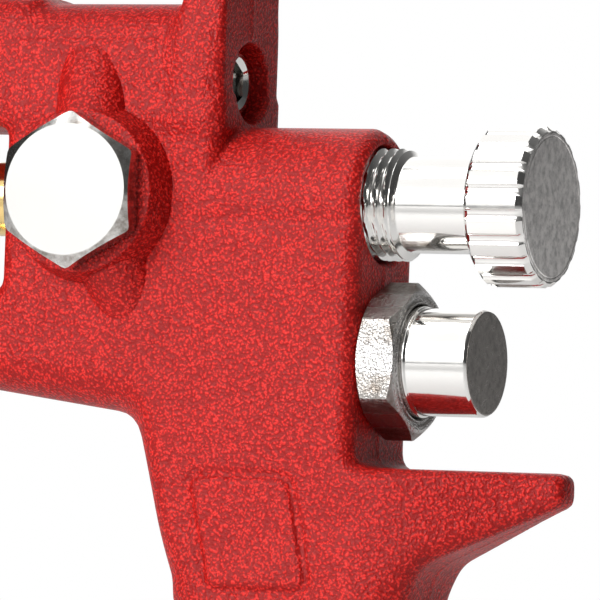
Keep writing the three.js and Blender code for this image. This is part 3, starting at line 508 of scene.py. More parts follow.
def plate_with_painted_chamfer_reflection(name, centre, axis, painted_beyond, colour=(0.86, 0.845, 0.82), painted_reflection=(0.20, 0.17, 0.145),
               gloss=(0.07, 0.24), pitted=0.000004):
    """Bright plating painted brown beyond a distance from an axis, on a nut's chamfers: painted
    reflection of a dark room there, noise deciding how strongly at each place. gloss is the roughness of
    the clean and of the brown-painted metal, pitted the depth of its pits in metres."""
    made, nodes, links, shader = material(name)
    reach = distance_to_axis(nodes, links, centre, axis)
    beyond = nodes.new("ShaderNodeMapRange")
    beyond.interpolation_type = "SMOOTHSTEP"
    half_edge = 0.12
    beyond.inputs["From Min"].default_value = (painted_beyond - half_edge) * MM
    beyond.inputs["From Max"].default_value = (painted_beyond + half_edge) * MM
    links.new(reach, beyond.inputs["Value"])
    blotch = grain(nodes, links, 480.0, 5.0, 0.7)
    much = node(nodes, "ShaderNodeMath", operation="MULTIPLY")
    links.new(beyond.outputs["Result"], much.inputs[0])
    links.new(ramp(nodes, links, blotch, [(0.36, (0.95,)), (0.60, (0.25,))]), much.inputs[1])
    shade = nodes.new("ShaderNodeMix")
    shade.data_type = "RGBA"
    links.new(much.outputs[0], shade.inputs["Factor"])
    slow = grain(nodes, links, 60.0, 3.0, 0.55)
    dulled = tuple(c * 0.95 for c in colour)
    links.new(ramp(nodes, links, slow, [(0.3, dulled), (0.65, colour)]), shade.inputs["A"])
    # Painted reflection: beyond the radius the chamfers are painted brown, where a dark room would show in
    # them.
    shade.inputs["B"].default_value = (*painted_reflection, 1)
    links.new(shade.outputs["Result"], shader.inputs["Base Color"])
    links.new(ramp(nodes, links, much.outputs[0], [(0.0, (gloss[0],)), (1.0, (gloss[1],))]),
              shader.inputs["Roughness"])
    shader.inputs["Metallic"].default_value = 1.0
    pits = grain(nodes, links, 2600.0, 2.0, 0.6)
    bump(nodes, links, pits, shader, 1.0, pitted)
    return made


def distance_to_axis(nodes, links, centre, axis):
    """Distance of a place from the line through centre along axis, on Object coordinates."""
    where = nodes.new("ShaderNodeTexCoord")
    moved = nodes.new("ShaderNodeVectorMath")
    moved.operation = "SUBTRACT"
    moved.inputs[1].default_value = tuple((np.array(centre) + DATUM) * MM)
    links.new(where.outputs["Object"], moved.inputs[0])
    flat = nodes.new("ShaderNodeVectorMath")
    flat.operation = "MULTIPLY"
    flat.inputs[1].default_value = {"x": (0, 1, 1), "y": (1, 0, 1), "z": (1, 1, 0)}[axis]
    links.new(moved.outputs["Vector"], flat.inputs[0])
    reach = nodes.new("ShaderNodeVectorMath")
    reach.operation = "LENGTH"
    links.new(flat.outputs["Vector"], reach.inputs[0])
    return reach.outputs["Value"]


def turned_face(name, colour, centre, axis, rough=(0.22, 0.42), ring_scale=9000.0):
    """Turned metal: fine rings about an axis, from noise read along the distance to it, with mottled
    stains over them."""
    made, nodes, links, shader = material(name)
    line = nodes.new("ShaderNodeCombineXYZ")
    links.new(distance_to_axis(nodes, links, centre, axis), line.inputs["X"])
    rings = node(nodes, "ShaderNodeTexNoise", Scale=ring_scale, Detail=2.0)
    links.new(line.outputs["Vector"], rings.inputs["Vector"])
    mottle = grain(nodes, links, 900.0, 5.0, 0.7)
    dark = tuple(c * 0.55 for c in colour)
    links.new(ramp(nodes, links, mottle, [(0.35, dark), (0.6, colour)]), shader.inputs["Base Color"])
    links.new(ramp(nodes, links, mottle, [(0.3, (rough[1],)), (0.7, (rough[0],))]),
              shader.inputs["Roughness"])
    shader.inputs["Metallic"].default_value = 1.0
    under = bump(nodes, links, rings.outputs["Fac"], shader, 0.25, 0.00006)
    bump(nodes, links, mottle, shader, 0.2, 0.00008, under)
    return made


def moulded(name, colour, rough=(0.35, 0.5), scale=1500.0):
    """Moulded plastic or rubber with a fine spark-eroded grain and a little unevenness of tone."""
    made, nodes, links, shader = material(name)
    fine = grain(nodes, links, scale, 3.0, 0.6)
    slow = grain(nodes, links, 90.0, 2.0, 0.5)
    dark = tuple(c * 0.82 for c in colour)
    links.new(ramp(nodes, links, slow, [(0.3, dark), (0.7, colour)]), shader.inputs["Base Color"])
    links.new(ramp(nodes, links, fine, [(0.3, (rough[0],)), (0.7, (rough[1],))]),
              shader.inputs["Roughness"])
    bump(nodes, links, fine, shader, 0.2, 0.00005)
    return made


RED = wrinkle_paint()
NICKEL = plated("bright_nickel", (0.86, 0.845, 0.82), (0.05, 0.14), 0.06)
CHROME = plated("polished_chrome", (0.80, 0.80, 0.81), (0.05, 0.14), 0.06)
BRASS = plated("bright_brass", (0.86, 0.62, 0.26), (0.10, 0.25))
STEEL = plated("ground_steel", (0.72, 0.73, 0.74), (0.16, 0.30), 0.08, (1, 1, 1))
ALUMINIUM = plated("spun_aluminium", (0.80, 0.81, 0.82), (0.22, 0.38), 0.05, (0.15, 0.15, 6))
WIRE = plated("spring_wire", (0.52, 0.53, 0.55), (0.2, 0.35))
NYLON = moulded("white_nylon", (0.82, 0.81, 0.76))
RUBBER = moulded("black_rubber", (0.018, 0.018, 0.019), (0.5, 0.7))
PLASTIC = moulded("black_lid_plastic", (0.022, 0.022, 0.024), (0.28, 0.42))
KNOB_FACE = turned_face("knob_face", (0.97, 0.94, 0.92), (0, 0, 0), "x", (0.40, 0.60))
CAP_FACE = turned_face("valve_cap_face", (0.44, 0.41, 0.385), (0, 0, VALVE_Z), "x")
# Plug and nut plating with brown painted reflection on their chamfers.
PLUG_PLATE = plate_with_painted_chamfer_reflection("plug_nickel_painted_chamfer_reflection", (PORT_X, 0, PORT_Z), "y", 8.1)
NUT_PLATE = plate_with_painted_chamfer_reflection("nut_nickel_painted_chamfer_reflection", (0, 0, VALVE_Z), "x", 8.7, (0.54, 0.525, 0.51),
                       gloss=(0.26, 0.34), pitted=0.0002)


# ---------------------------------------------------------------- cast body
def arc(p0, p1, p2, steps=8):
    """Parabola from p0 to p2 that heads for p1: (1-t)^2 p0 + 2t(1-t) p1 + t^2 p2."""
    t = np.linspace(0, 1, steps)[:, None]
    p0, p1, p2 = (np.array(p, dtype=float) for p in (p0, p1, p2))
    return (1 - t) ** 2 * p0 + 2 * t * (1 - t) * p1 + t ** 2 * p2


COLUMN_REAR = HOOK_X + HOOK_R + HOOK_T / 2
SCREW_END = COLUMN_REAR - 1.7
SIDE_LINE = softened([
    (0, BAR_FOOT + 4), (0, -11.5, 1.6), (-6, -12.5, 3), (-6.5, -23.5, 4), (17.9, -26.7, 4.5),
    (24.5, -49.2), (28, -61.4), (58.3, -61.4), (54.9, -49.6, 4), (57.6, -44, 5), (71, -37.6, 3),
    (TAIL_TIP, -36.2, 1.6), (TAIL_TIP, TAIL_Z, 1.5), (BLOCK_L, TAIL_Z, 2.2), (BLOCK_L, -2),
    (COLUMN_REAR, -2), (COLUMN_REAR, BAR_FOOT + 4)])
# The bar across the gun: its side leans in to a small step, where the rounded top begins.
BAR_STEP = 8.7, 19.4
BAR_SIDE = np.concatenate([
    softened([(0, BAR_FOOT), (HALF, BAR_FOOT, 2), BAR_STEP, BAR_STEP], closed=False),
    arc((8.4, 19.7), (7.5, 24.4), (1.5, BAR_TOP), 12)])
BAR_LINE = np.concatenate([BAR_SIDE, BAR_SIDE[:0:-1] * (-1, 1)])
RISE_LINE = softened([
    (2, 20), (2, BAR_TOP), (-18, 25.4, 16), (NECK_X + 8, NECK_TOP - 3, 3), (HEAD_FRONT + 2, 29, 5),
    (HEAD_FRONT + 1, BAR_FOOT, 2)])
BARREL_LINE = softened([
    (HEAD_FRONT - 7, -20), (HEAD_FRONT - 7, 13, 0.8), (HEAD_FRONT, 13), (HEAD_FRONT, 15.4, 0.6),
    (HEAD_FRONT + 6, 15.4, 3), (HEAD_REAR - 4, 13.2, 4), (HEAD_REAR, 10, 2), (HEAD_REAR, -20)])
PAD_LINE = softened([(27.6, -34.4, 1.2), (40.2, -34.4, 1.2), (43.5, -47.3, 1.2), (30.8, -47.3, 1.2)])
STRAP_HALF = 8.4
STRAP_FOOT = 9.0
HOOK_END = math.radians(147)
HANDLE_DEEP, HANDLE_THICK, HANDLE_CORNER = 14.65, 9.25, 6.0
PAD_PROUD, PAD_GROOVE = 0.30, 0.34
SEAM_HEIGHT, SEAM_WIDTH = 0.09, 0.45
# Holes along the gun: radius, from, to, height of the axis, softness of the rim.
DRILLED = (
    (4.5, 5, 31, 0, 0.3),  # needle's way through the block
    (3.9, -3, 6, 0, 0.3),  # seat of its bush
    (7.3, 30.5, 60, 0, 0.8),  # fluid control's thread
    (6.3, 22, 60, VALVE_Z, 0.8),  # air valve's chamber
    (4.0, 2.5, 23, VALVE_Z, 0.3),  # its stem
    (3.3, -9, 3, VALVE_Z, 0.5),  # its gland
    (4.9, -70, HEAD_FRONT + 1, 0, 0.4),  # fluid nozzle
    (3.0, -70, HEAD_REAR, 0, 0.3),  # needle's way through the head
    (3.6, HEAD_REAR - 5, HEAD_REAR + 5, 0, 0.5),  # packing
)


def strap_outline(x, z):
    """Hook from the side: an upright bar, a ring about the bend's centre and a round tip."""
    upright = np.maximum(np.abs(x - (COLUMN_REAR - HOOK_T / 2)) - HOOK_T / 2,
                         np.maximum(STRAP_FOOT - z, z - HOOK_Z))
    dx, dz = x - HOOK_X, z - HOOK_Z
    turn = np.arctan2(dz, dx)
    bend = np.abs(np.hypot(dx, dz) - HOOK_R) - HOOK_T / 2
    tip = np.hypot(dx - HOOK_R * math.cos(HOOK_END), dz - HOOK_R * math.sin(HOOK_END)) - HOOK_T / 2
    return np.minimum(upright, np.where((turn >= 0) & (turn <= HOOK_END), bend, tip))


def cast_body(x, y, z):
    """The casting as one field: outlines with a thickness and rounded edges, turned shapes and
    capsules, joined by fillets, with the machined holes cut out."""
    ay = np.abs(y)
    reach = np.hypot(y, z)
    beyond = ease((x - 50) / 25)
    low = ease((-11 - z) / 7) * (1 - ease((x - 18) / 10)) + ease((-38 - z) / 12) * ease((x - 18) / 10)
    low = low * (1 - ease((x - 50) / 8))
    half = HALF - 6.7 * beyond - 3 * ease((-51 - z) / 10)
    edge = 2.3 + 3.2 * low - 0.8 * ease((x - 56) / 12)
    made = both(outline_distance(SIDE_LINE, x, z), ay - half, edge)
    arch = both(reach - 9.25, np.maximum(-x, x - BLOCK_L), 2.3)
    made = join(made, arch, 0.6)
    across = (x - HANDLE_X) * math.cos(LEAN) + (z - VALVE_Z) * math.sin(LEAN)
    down = (x - HANDLE_X) * math.sin(LEAN) - (z - VALVE_Z) * math.cos(LEAN)
    deep = HANDLE_DEEP - 0.9 * ease((down - 36) / 25) + 0.6 * ease((down - 78) / 22)
    thick = HANDLE_THICK + 0.45 * ease((down - 44) / 25) - 0.2 * ease((down - 85) / 15)
    section = both(np.abs(across) - deep, ay - thick, HANDLE_CORNER)
    made = join(made, both(section, np.maximum(26 - down, down - HANDLE_L), 1.6), 3)
    strap = both(strap_outline(x, z), ay - STRAP_HALF, 0.9)
    bar = both(outline_distance(BAR_LINE, y, z), np.maximum(HEAD_FRONT + 2 - x, x - 27.5), 0.8)
    made = join(made, join(bar, strap, 3), 1.6)
    rise = both(outline_distance(RISE_LINE, x, z), ay - 7.4, 3)
    neck = rod_field(x - NECK_X, y, z, 10.5, BAR_FOOT, NECK_TOP, 0.6)
    barrel = outline_distance(BARREL_LINE, x, reach)
    head = join(join(rise, neck, 2.5), barrel, 2)
    made = join(made, head, 3)
    pad_edge = outline_distance(PAD_LINE, x, z)
    on_side = ay > 5
    groove = PAD_GROOVE * np.exp(-((pad_edge - 0.75) / 0.42) ** 2)
    proud = PAD_PROUD * ease((0.35 - pad_edge) / 0.5) - groove
    made = made - np.where(on_side, proud, 0)
    made = made - SEAM_HEIGHT * np.exp(-(y / SEAM_WIDTH) ** 2)
    for r, s0, s1, height, soft in DRILLED:
        made = cut(made, rod_field(y, z - height, x, r, s0, s1), soft)
    bore = rod_field(y, z - PASSAGE_Z, x, 5.05, SCREW_END - 3, 40)
    bore = np.minimum(bore, rod_field(y, z - PASSAGE_Z, x, 4.6, SCREW_END - 8, SCREW_END - 2))
    made = cut(made, bore, 0.25)
    made = cut(made, rod_field(x - PORT_X, z - PORT_Z, y, 6.1, -30, -5.4), 0.4)
    made = cut(made, rod_field(x - NECK_X, y, z, 8.3, NECK_TOP - 11, 60), 0.5)
    made = cut(made, rod_field(x - NECK_X, y, z, 4.3, 0, 60), 0.3)
    return cut(made, rod_field(across, y, down, 6.9, HANDLE_L - 11, HANDLE_L + 5), 0.6)


points, quads = skin(
    cast_body,
    stations((-60, -7, 0.85), (-7, 52, 0.43), (52, 78, 0.55)),
    stations((-15.9, -9.9, 0.75), (-9.9, -1, 0.5), (-1, 1, 0.25), (1, 9.9, 0.6), (9.9, 15.9, 0.75)),
    stations((-124, -52, 0.85), (-52, 27, 0.43), (27, 50.5, 0.65)))
build("cast_gun_body", points, quads, RED, "gun", ["gun_body"], sharp=50)

# ---------------------------------------------------------------- boss and ribs of the side port
PORT_FACE = -HALF - BOSS_H
turned("side_port_boss", "y", (PORT_X, 0, PORT_Z), [
    (PORT_FACE, 6.05, 0.1), (PORT_FACE, 10, 0.35), (-HALF + 0.1, 11.3), (-7.8, 11.6), (-7.8, 6.05)],
    RED, "gun", turns=160, sharp=40, closed=True)
RIB_LEAN = math.radians(11.4)
RIB_X = 14.15
RIB_R = 4.85
RIB_FALL = math.tan(math.radians(27))


def rib(name, way, start, level, end):
    """Rib from the boss along the side: circles across its line whose middle sinks as it goes, cut
    level with the boss's face and flat inside the casting. level is where the crest meets the face."""
    along = np.concatenate([[start], np.linspace(start, end, 40), [end]])[:, None]
    angle = (np.arange(72) * TAU / 72)[None]
    radius = np.full(along.shape, RIB_R)
    radius[[0, -1]] = 0
    height = BOSS_H - RIB_R - (along - level) * RIB_FALL + radius * np.sin(angle)
    height = np.clip(height, -2.5, BOSS_H - 0.03)
    across = radius * np.cos(angle)
    up, side = math.cos(RIB_LEAN), math.sin(RIB_LEAN)
    points = np.stack([RIB_X - way * along * side + across * up, -HALF - height,
                       PORT_Z + way * along * up + across * side], axis=-1)
    return build(name, points.reshape(-1, 3), grid_faces(len(along), 72), RED, "gun",
                 sharp=40)


rib("side_port_rib_upper", 1, 7.2, 10.0, 18.6)
rib("side_port_rib_lower", -1, 7.2, 7.8, 16.4)

# ---------------------------------------------------------------- plugs on the side and in the strap
HEX = 17.0
turned_rows = hex_rows(PORT_FACE - 3.3, PORT_FACE - 0.1, HEX, face0=8.1, slope=32)
columns("port_plug", "y", (PORT_X, 0, PORT_Z),
        [(PORT_FACE - 3.3, 0), (PORT_FACE - 3.3, 7.4)] + turned_rows
        + [(PORT_FACE - 0.1, 5.9), (-9.8, 5.9), (-9.4, 5.4), (-9.4, 0)],
        PLUG_PLATE, "gun", ["side_port_plug"], "nickel")
socket = lambda angle: hex_radius(angle, 5.0, 0.02)
columns("strap_set_screw", "x", (0, 0, PASSAGE_Z),
        [(SCREW_END - 7, 0), (SCREW_END - 7, 4.0), (SCREW_END - 6.7, 4.3), (SCREW_END - 0.5, 4.3),
         (SCREW_END, 3.8), (SCREW_END, 3.3), (SCREW_END - 0.4, socket), (SCREW_END - 3.8, socket),
         (SCREW_END - 4.6, 0)],
        NICKEL, "gun", ["passage_plug"], "nickel")

# ---------------------------------------------------------------- air valve: nut, cap, gland, stem
AT_VALVE = (0, 0, VALVE_Z)
NUT_END = BLOCK_L + 5.3
columns("air_valve_nut", "x", AT_VALVE,
        [(BLOCK_L - 9, 4.9), (BLOCK_L - 9, 5.6), (BLOCK_L - 8.6, 6), (BLOCK_L + 0.1, 6)]
        + hex_rows(BLOCK_L + 0.1, NUT_END, HEX, face0=8.2, face1=8.3, slope=30)
        + [(NUT_END, 7.95), (NUT_END - 0.3, 7.85), (NUT_END - 0.3, 7.5), (NUT_END, 7.4), (NUT_END, 7.2),
           (NUT_END - 0.5, 6.95), (NUT_END - 3, 6.9), (NUT_END - 3, 4.9)],
        NUT_PLATE, "gun", ["valve_cap_nut"], "nickel", closed=True)
CAP_END = BLOCK_L + 14.1
turned("air_valve_cap", "x", AT_VALVE, [
    (NUT_END - 0.9, 0), (NUT_END - 0.9, 6.6), (NUT_END - 0.3, 6.85, 0.1), (NUT_END + 0.5, 6.85, 0.25),
    (NUT_END + 0.7, 6.6, 0.1), (CAP_END - 0.4, 6.6, 0.3), (CAP_END - 0.02, 6.3, 0.1)],
    NICKEL, "gun", ["valve_cap"], closed=True)
turned("air_valve_cap_end", "x", AT_VALVE, [
    (CAP_END - 0.6, 0), (CAP_END - 0.6, 6.1), (CAP_END - 0.02, 6.34), (CAP_END, 6.15, 0.1),
    (CAP_END, 0)],
    CAP_FACE, "gun", sharp=40)
columns("stem_gland_nut", "x", AT_VALVE,
        hex_rows(-9.6, -6.7, 8, face0=3.7, face1=3.7) + [(-6.7, 3), (1.4, 3), (1.4, 1.85), (-9.6, 1.85)],
        BRASS, "gun", ["stem_gland"], "brass", closed=True)
turned("air_valve_stem", "x", AT_VALVE, [
    (CONTACT_X + 0.3, 0), (CONTACT_X + 0.35, 0.7, 0.3), (CONTACT_X + 1.3, 1.5, 0.5), (27.2, 1.5),
    (27.2, 4.6, 0.2), (29, 4.6, 0.2), (29, 1.6), (40, 1.6, 0.2), (40.4, 1.1), (40.4, 0)],
    STEEL, "air_valve", ["valve_stem"])

# ---------------------------------------------------------------- needle, its bush and its springs
turned("needle_guide", "x", (0, 0, 0), [
    (-8.6, 2.8), (-8.6, 4.2, 0.2), (-8.1, 4.65, 0.2), (-5.6, 4.65, 0.1), (-5.3, 4.35, 0.1),
    (-4.7, 4.35, 0.1), (-4.4, 4.65, 0.1), (-0.1, 4.65, 0.1), (-0.1, 3.75), (4.6, 3.75, 0.2), (4.6, 2.8)],
    BRASS, "gun", ["needle_bush"], closed=True)
turned("needle_carrier", "x", (0, 0, 0), [
    (CONTACT_X + 0.3, 1.6), (CONTACT_X + 0.3, 2.0, 0.2), (CONTACT_X + 0.8, 2.58, 0.3), (20, 2.58),
    (20, 4.1, 0.2), (22, 4.1, 0.2), (22, 1.6)], STEEL, "needle", ["needle_sleeve"], closed=True)
turned("needle", "x", (0, 0, 0), [
    (-71.6, 0), (-65.5, 1.0, 1), (-63.6, 1.45, 1), (52.9, 1.45, 0.2), (53.5, 1.0), (53.5, 0)],
    STEEL, "needle", ["fluid_needle"], turns=48)


def coil(x0, x1, radius, rounds, z):
    """Points of a helix about an axis parallel to X: x goes evenly from x0 to x1 as the angle turns,
    with a flat turn at each end."""
    t = np.linspace(0, 1, rounds * 32)
    go = np.clip((t * rounds - 0.8) / (rounds - 1.6), 0, 1)
    angle = TAU * rounds * t
    return np.stack([x0 + (x1 - x0) * (0.04 * t + 0.96 * go), radius * np.cos(angle),
                     z + radius * np.sin(angle)], axis=1)


springs = [
    wire("needle_return_spring", coil(22.8, 46.4, 3.1, 10, 0), 0.42, WIRE, "gun", ["needle_spring"]),
    wire("valve_return_spring", coil(29.9, BLOCK_L - 5.9, 3.2, 7, VALVE_Z), 0.46, WIRE, "gun",
         ["valve_spring"]),
]
frame_at = lambda x, y, z: tuple((np.array([x, y, z]) + DATUM) * MM)
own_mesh(springs[0])
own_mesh(springs[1])

# ---------------------------------------------------------------- fluid control: stem and knob
PITCH = 1.25


def threaded(along, radius, angle):
    """Thread: on the part before the neck the radius falls by a rounded V of the pitch as the angle
    goes round: r - depth * |1 - 2 frac(along / pitch - angle / turn)| ^ 0.8, faded at both ends."""
    on = (radius > 6.6) & (along < BLOCK_L + 3.1)
    phase = np.mod(along / PITCH - angle / TAU, 1)
    depth = 0.72 * np.abs(1 - 2 * phase) ** 0.8
    fade = ease((along - 35.8) / 1.2) * ease((BLOCK_L + 3.3 - along) / 0.5)
    return along + 0 * angle, np.where(on, radius - depth * fade, radius + 0 * angle)


BACK = KNOB_END - KNOB_L
stem_line = [(36.0, 4.15), (36.0, 6.5)]
stem_line += [(s, 7.0) for s in np.arange(36.3, BLOCK_L + 3.1, PITCH / 12)]
stem_line += [(BLOCK_L + 3.3, 6.3), (BLOCK_L + 3.6, 5.9, 0.2), (BACK + 4, 5.9), (BACK + 4, 4.15)]
turned("control_stem", "x", (0, 0, 0), stem_line, NICKEL, "fluid_control", ["knob_stem"],
       turns=120, sharp=50, shape=threaded, closed=True)
FLUTES = 20


def fluted(along, radius, angle):
    """Knob: between grips the radius dips by a round groove, sqrt-shaped across each, that runs out
    towards the chamfers."""
    across = np.abs(np.mod(angle * FLUTES / TAU, 1) - 0.5) * 2
    groove = 0.42 * np.sqrt(np.clip(1 - (across / 0.46) ** 2, 0, 1))
    rim = np.clip((radius - 9.0) / (KNOB_R - 9.0), 0, 1)
    return along + 0 * angle, radius - groove * rim


knob_line = [(BACK, 5.95), (BACK, 8.8, 0.3), (BACK + 0.35, 9.3, 0.2)]
knob_line += [(s, KNOB_R) for s in np.linspace(BACK + 0.8, KNOB_END - 0.8, 6)]
knob_line += [(KNOB_END - 0.25, 9.42, 0.15), (KNOB_END - 0.1, 9.3), (KNOB_END - 0.1, 9.1),
              (KNOB_END - 0.5, 9.1), (KNOB_END - 0.5, 0), (BACK + 4.1, 0), (BACK + 4.1, 5.95)]
turned("control_knob", "x", (0, 0, 0), knob_line, NICKEL, "fluid_control", ["fluid_knob"],
       turns=FLUTES * 16, sharp=26, shape=fluted, closed=True)
turned("control_knob_end", "x", (0, 0, 0), [
    (KNOB_END - 0.45, 0), (KNOB_END - 0.45, 9.06), (KNOB_END - 0.05, 9.06, 0.1),
    (KNOB_END - 0.03, 8.75, 0.05), (KNOB_END - 0.1, 8.68, 0.03),
    (KNOB_END - 0.1, 8.6, 0.03), (KNOB_END - 0.02, 8.5, 0.05),
    (KNOB_END, 0)],
    KNOB_FACE, "fluid_control", sharp=40)

# ---------------------------------------------------------------- air inlet
AT_FOOT = (HANDLE_X + HANDLE_L * math.sin(LEAN), 0, VALVE_Z - HANDLE_L * math.cos(LEAN))


def inlet_thread(angle, s):
    """Coarse pipe thread as a ripple of the radius along the nipple."""
    return 6.6 - 0.55 * np.abs(1 - 2 * np.mod(s / 1.34 - angle / TAU, 1)) ** 0.9


thread_rows = [(s, (lambda a, s=s: inlet_thread(a, s))) for s in np.arange(6.9, 16.3, 0.168)]
columns("air_inlet_nipple", "handle", AT_FOOT,
        [(-10, 3.5), (-10, 6.2), (0.2, 6.2)] + hex_rows(0.2, 5, HEX, face0=8.2, face1=8.2)
        + [(5, 6.2), (5.3, 5.9), (6.3, 5.9)] + thread_rows
        + [(16.5, 6.0), (17.2, 5.6), (17.2, 4.3), (16.9, 4.0), (12, 4.0), (10.5, 3.5)],
        NICKEL, "gun", ["air_inlet"], "nickel", sharp=35, closed=True)

# ---------------------------------------------------------------- trigger
FRONT = CONTACT_X - 2.4
pivot_turn = np.linspace(math.pi, 0, 14)
TRIGGER_OUT = np.concatenate([
    np.stack([PIVOT_X + 6 * np.cos(pivot_turn), PIVOT_Z + 6 * np.sin(pivot_turn)], axis=1),
    [(PIVOT_X + 5.4, 8), (CONTACT_X + 4.6, -8)],
    arc((CONTACT_X + 4.6, -8), (CONTACT_X + 4, -30), (CONTACT_X - 9, -52))[1:],
    arc((CONTACT_X - 9, -52), (CONTACT_X - 14, -60), (CONTACT_X - 16, -68))[1:],
    arc((CONTACT_X - 16, -68), (CONTACT_X - 19, -71), (CONTACT_X - 21.5, -68))[1:],
    arc((CONTACT_X - 21.5, -68), (FRONT - 12, -42), (FRONT - 0.5, -27))[1:],
    [(FRONT, -22), (FRONT, 6)], arc((FRONT, 6), (FRONT, 9), (PIVOT_X - 5, 13))[1:]])
TRIGGER_IN = np.concatenate([
    [(PIVOT_X - 9, PIVOT_Z + 9), (PIVOT_X + 9, PIVOT_Z + 9), (CONTACT_X + 8, -8), (CONTACT_X + 8, -90),
     (CONTACT_X - 18.6, -90)],
    arc((CONTACT_X - 18.6, -67), (CONTACT_X - 11.6, -42), (CONTACT_X - 0.4, -27.4)),
    [(CONTACT_X, -24.6), (CONTACT_X, 6.4), (CONTACT_X - 9, 11)]])


def trigger_field(x, y, z):
    """Trigger: a side outline of one width, hollowed from behind, with the needle's slot and the
    pivot's holes."""
    ay = np.abs(y)
    narrow = 3 * np.clip((-24 - z) / 50, 0, 1)
    made = both(outline_distance(TRIGGER_OUT, x, z), ay - 11.6 + narrow, 0.8)
    hollow = both(outline_distance(TRIGGER_IN, x, z), ay - 9.9 + narrow, 0.3)
    made = cut(made, hollow, 0.35)
    made = cut(made, np.maximum(np.maximum(ay - 2, np.abs(z) - 4.5), x), 0.3)
    return cut(made, np.hypot(x - PIVOT_X, z - PIVOT_Z) - 2.6, 0.3)


points, quads = skin(trigger_field, stations((-42.5, -12, 0.5)), stations((-12.3, 12.3, 0.45)),
                     stations((-72, 28.5, 0.55)))
build("trigger_lever", points, quads, CHROME, "trigger_lever", ["trigger"], sharp=50)
AT_PIVOT = (PIVOT_X, 0, PIVOT_Z)


def slotted(angle, r, depth=1.1, half=0.5):
    """Screw slot: the head's face drops where a point is nearer than half the slot's width to its
    middle line."""
    return np.where(np.abs(r * np.sin(angle)) < half, depth, 0.0)


head_rows = [((lambda a, r=r: -13.8 + 0.02 * r + slotted(a, r)), r) for r in np.linspace(0, 3.3, 12)]
columns("pivot_screw_head", "y", AT_PIVOT,
        head_rows + [(-13.4, 3.9), (-13.0, 4.2), (-11.8, 4.2), (-11.8, 1.95), (10.4, 1.95), (10.4, 0)],
        STEEL, "gun", ["pivot_screw"], "steel", sharp=30)
columns("pivot_screw_nut", "y", AT_PIVOT,
        [(10.8, 0), (10.8, 1.9), (11.8, 1.9), (11.8, 4.2), (13.0, 4.2), (13.6, 3.5), (13.8, 2.2),
         (13.8, 0)],
        STEEL, "gun", ["pivot_nut"], "steel")

# ---------------------------------------------------------------- spray head
columns("needle_packing_nut", "x", (0, 0, 0),
        [(HEAD_REAR - 3, 1.7), (HEAD_REAR - 3, 3.4), (HEAD_REAR + 0.3, 3.4)]
        + hex_rows(HEAD_REAR + 0.3, HEAD_REAR + 3.3, 8, face0=3.7, face1=3.7)
        + [(HEAD_REAR + 3.3, 1.7)], BRASS, "gun", ["packing_nut"], "brass", closed=True)
CAP_BACK = HEAD_FRONT - 7.6
CAP_LINE = softened([
    (CAP_BACK - 12.6, 1.9), (CAP_BACK - 12.6, 4.6, 0.5), (CAP_BACK - 11.2, 8.6, 2),
    (CAP_BACK - 10.3, 10.7, 0.6), (CAP_BACK - 4.3, 10.8, 0.2), (CAP_BACK - 4.3, 12.8, 0.3),
    (CAP_BACK - 0.3, 12.8, 0.3), (CAP_BACK - 0.3, 9.7, 0.2),
    (CAP_BACK - 6.5, 9.6, 1), (CAP_BACK - 9.4, 6.4, 1), (CAP_BACK - 11.3, 1.9)])
HORN_LINE = softened([(CAP_BACK - 9, 3), (CAP_BACK - 10, 6.2, 0.4), (CAP_BACK - 17, 8.2, 0.9),
                      (CAP_BACK - 17, 10.4, 0.9), (CAP_BACK - 9, 10.4, 0.4)])


def air_cap_field(x, y, z):
    """Air cap: a turned shell with two horns that stand forward, drilled for the paint and the air."""
    ay = np.abs(y)
    reach = np.hypot(y, z)
    made = outline_distance(CAP_LINE, x, reach)
    horn = both(outline_distance(HORN_LINE, x, ay), np.abs(z) - 3.1, 0.7)
    made = join(made, horn, 1.2)
    made = cut(made, both(reach - 9.5, np.maximum(CAP_BACK - 6.5 - x, x - CAP_BACK), 0.3), 0.2)
    made = cut(made, capsule(x, ay, z, (CAP_BACK - 15, 6, 0), (CAP_BACK - 13.4, 9.6, 0), 0.55), 0.15)
    for turn in (0.25, 0.75, 1.25, 1.75):
        v, w = 4 * math.cos(turn * math.pi), 4 * math.sin(turn * math.pi)
        made = cut(made, np.maximum(np.hypot(y - v, z - w) - 0.4, x - CAP_BACK + 9), 0.1)
    return made


points, quads = skin(air_cap_field, stations((-76.6, -58.2, 0.34)), stations((-13.4, 13.4, 0.36)),
                     stations((-13.4, 13.4, 0.36)))
build("air_cap_horned", points, quads, BRASS, "shaping_cap", ["air_cap"], sharp=40)
RING_FRONT = CAP_BACK - 6.5
RING_BACK = HEAD_FRONT - 0.4


def notched(along, radius, angle):
    """Ring: twelve round notches round its rim, that run out before its front edge."""
    across = np.mod(angle * 12 / TAU + 0.5, 1) - 0.5
    dip = 0.75 * np.exp(-(across / 0.11) ** 2)
    on = ease((radius - 14.4) / 0.8) * ease((along - RING_FRONT - 2) / 1.2)
    return along + 0 * angle, radius - dip * on


turned("cap_retaining_ring", "x", (0, 0, 0), [
    (RING_FRONT, 11.2, 0.2), (RING_FRONT, 13.2, 0.5), (RING_FRONT + 1, 15, 0.8),
    (RING_FRONT + 2, 15.6, 0.5), (RING_FRONT + 3, 15.6),
    (RING_FRONT + 3.6, 15.6), (RING_BACK - 0.7, 15.6, 0.3), (RING_BACK, 15, 0.3),
    (RING_BACK, 13.3, 0.2), (RING_FRONT + 1.5, 13.3), (RING_FRONT + 1.5, 11.2)],
    CHROME, "retaining_ring", ["cap_ring"], turns=240, shape=notched, closed=True)

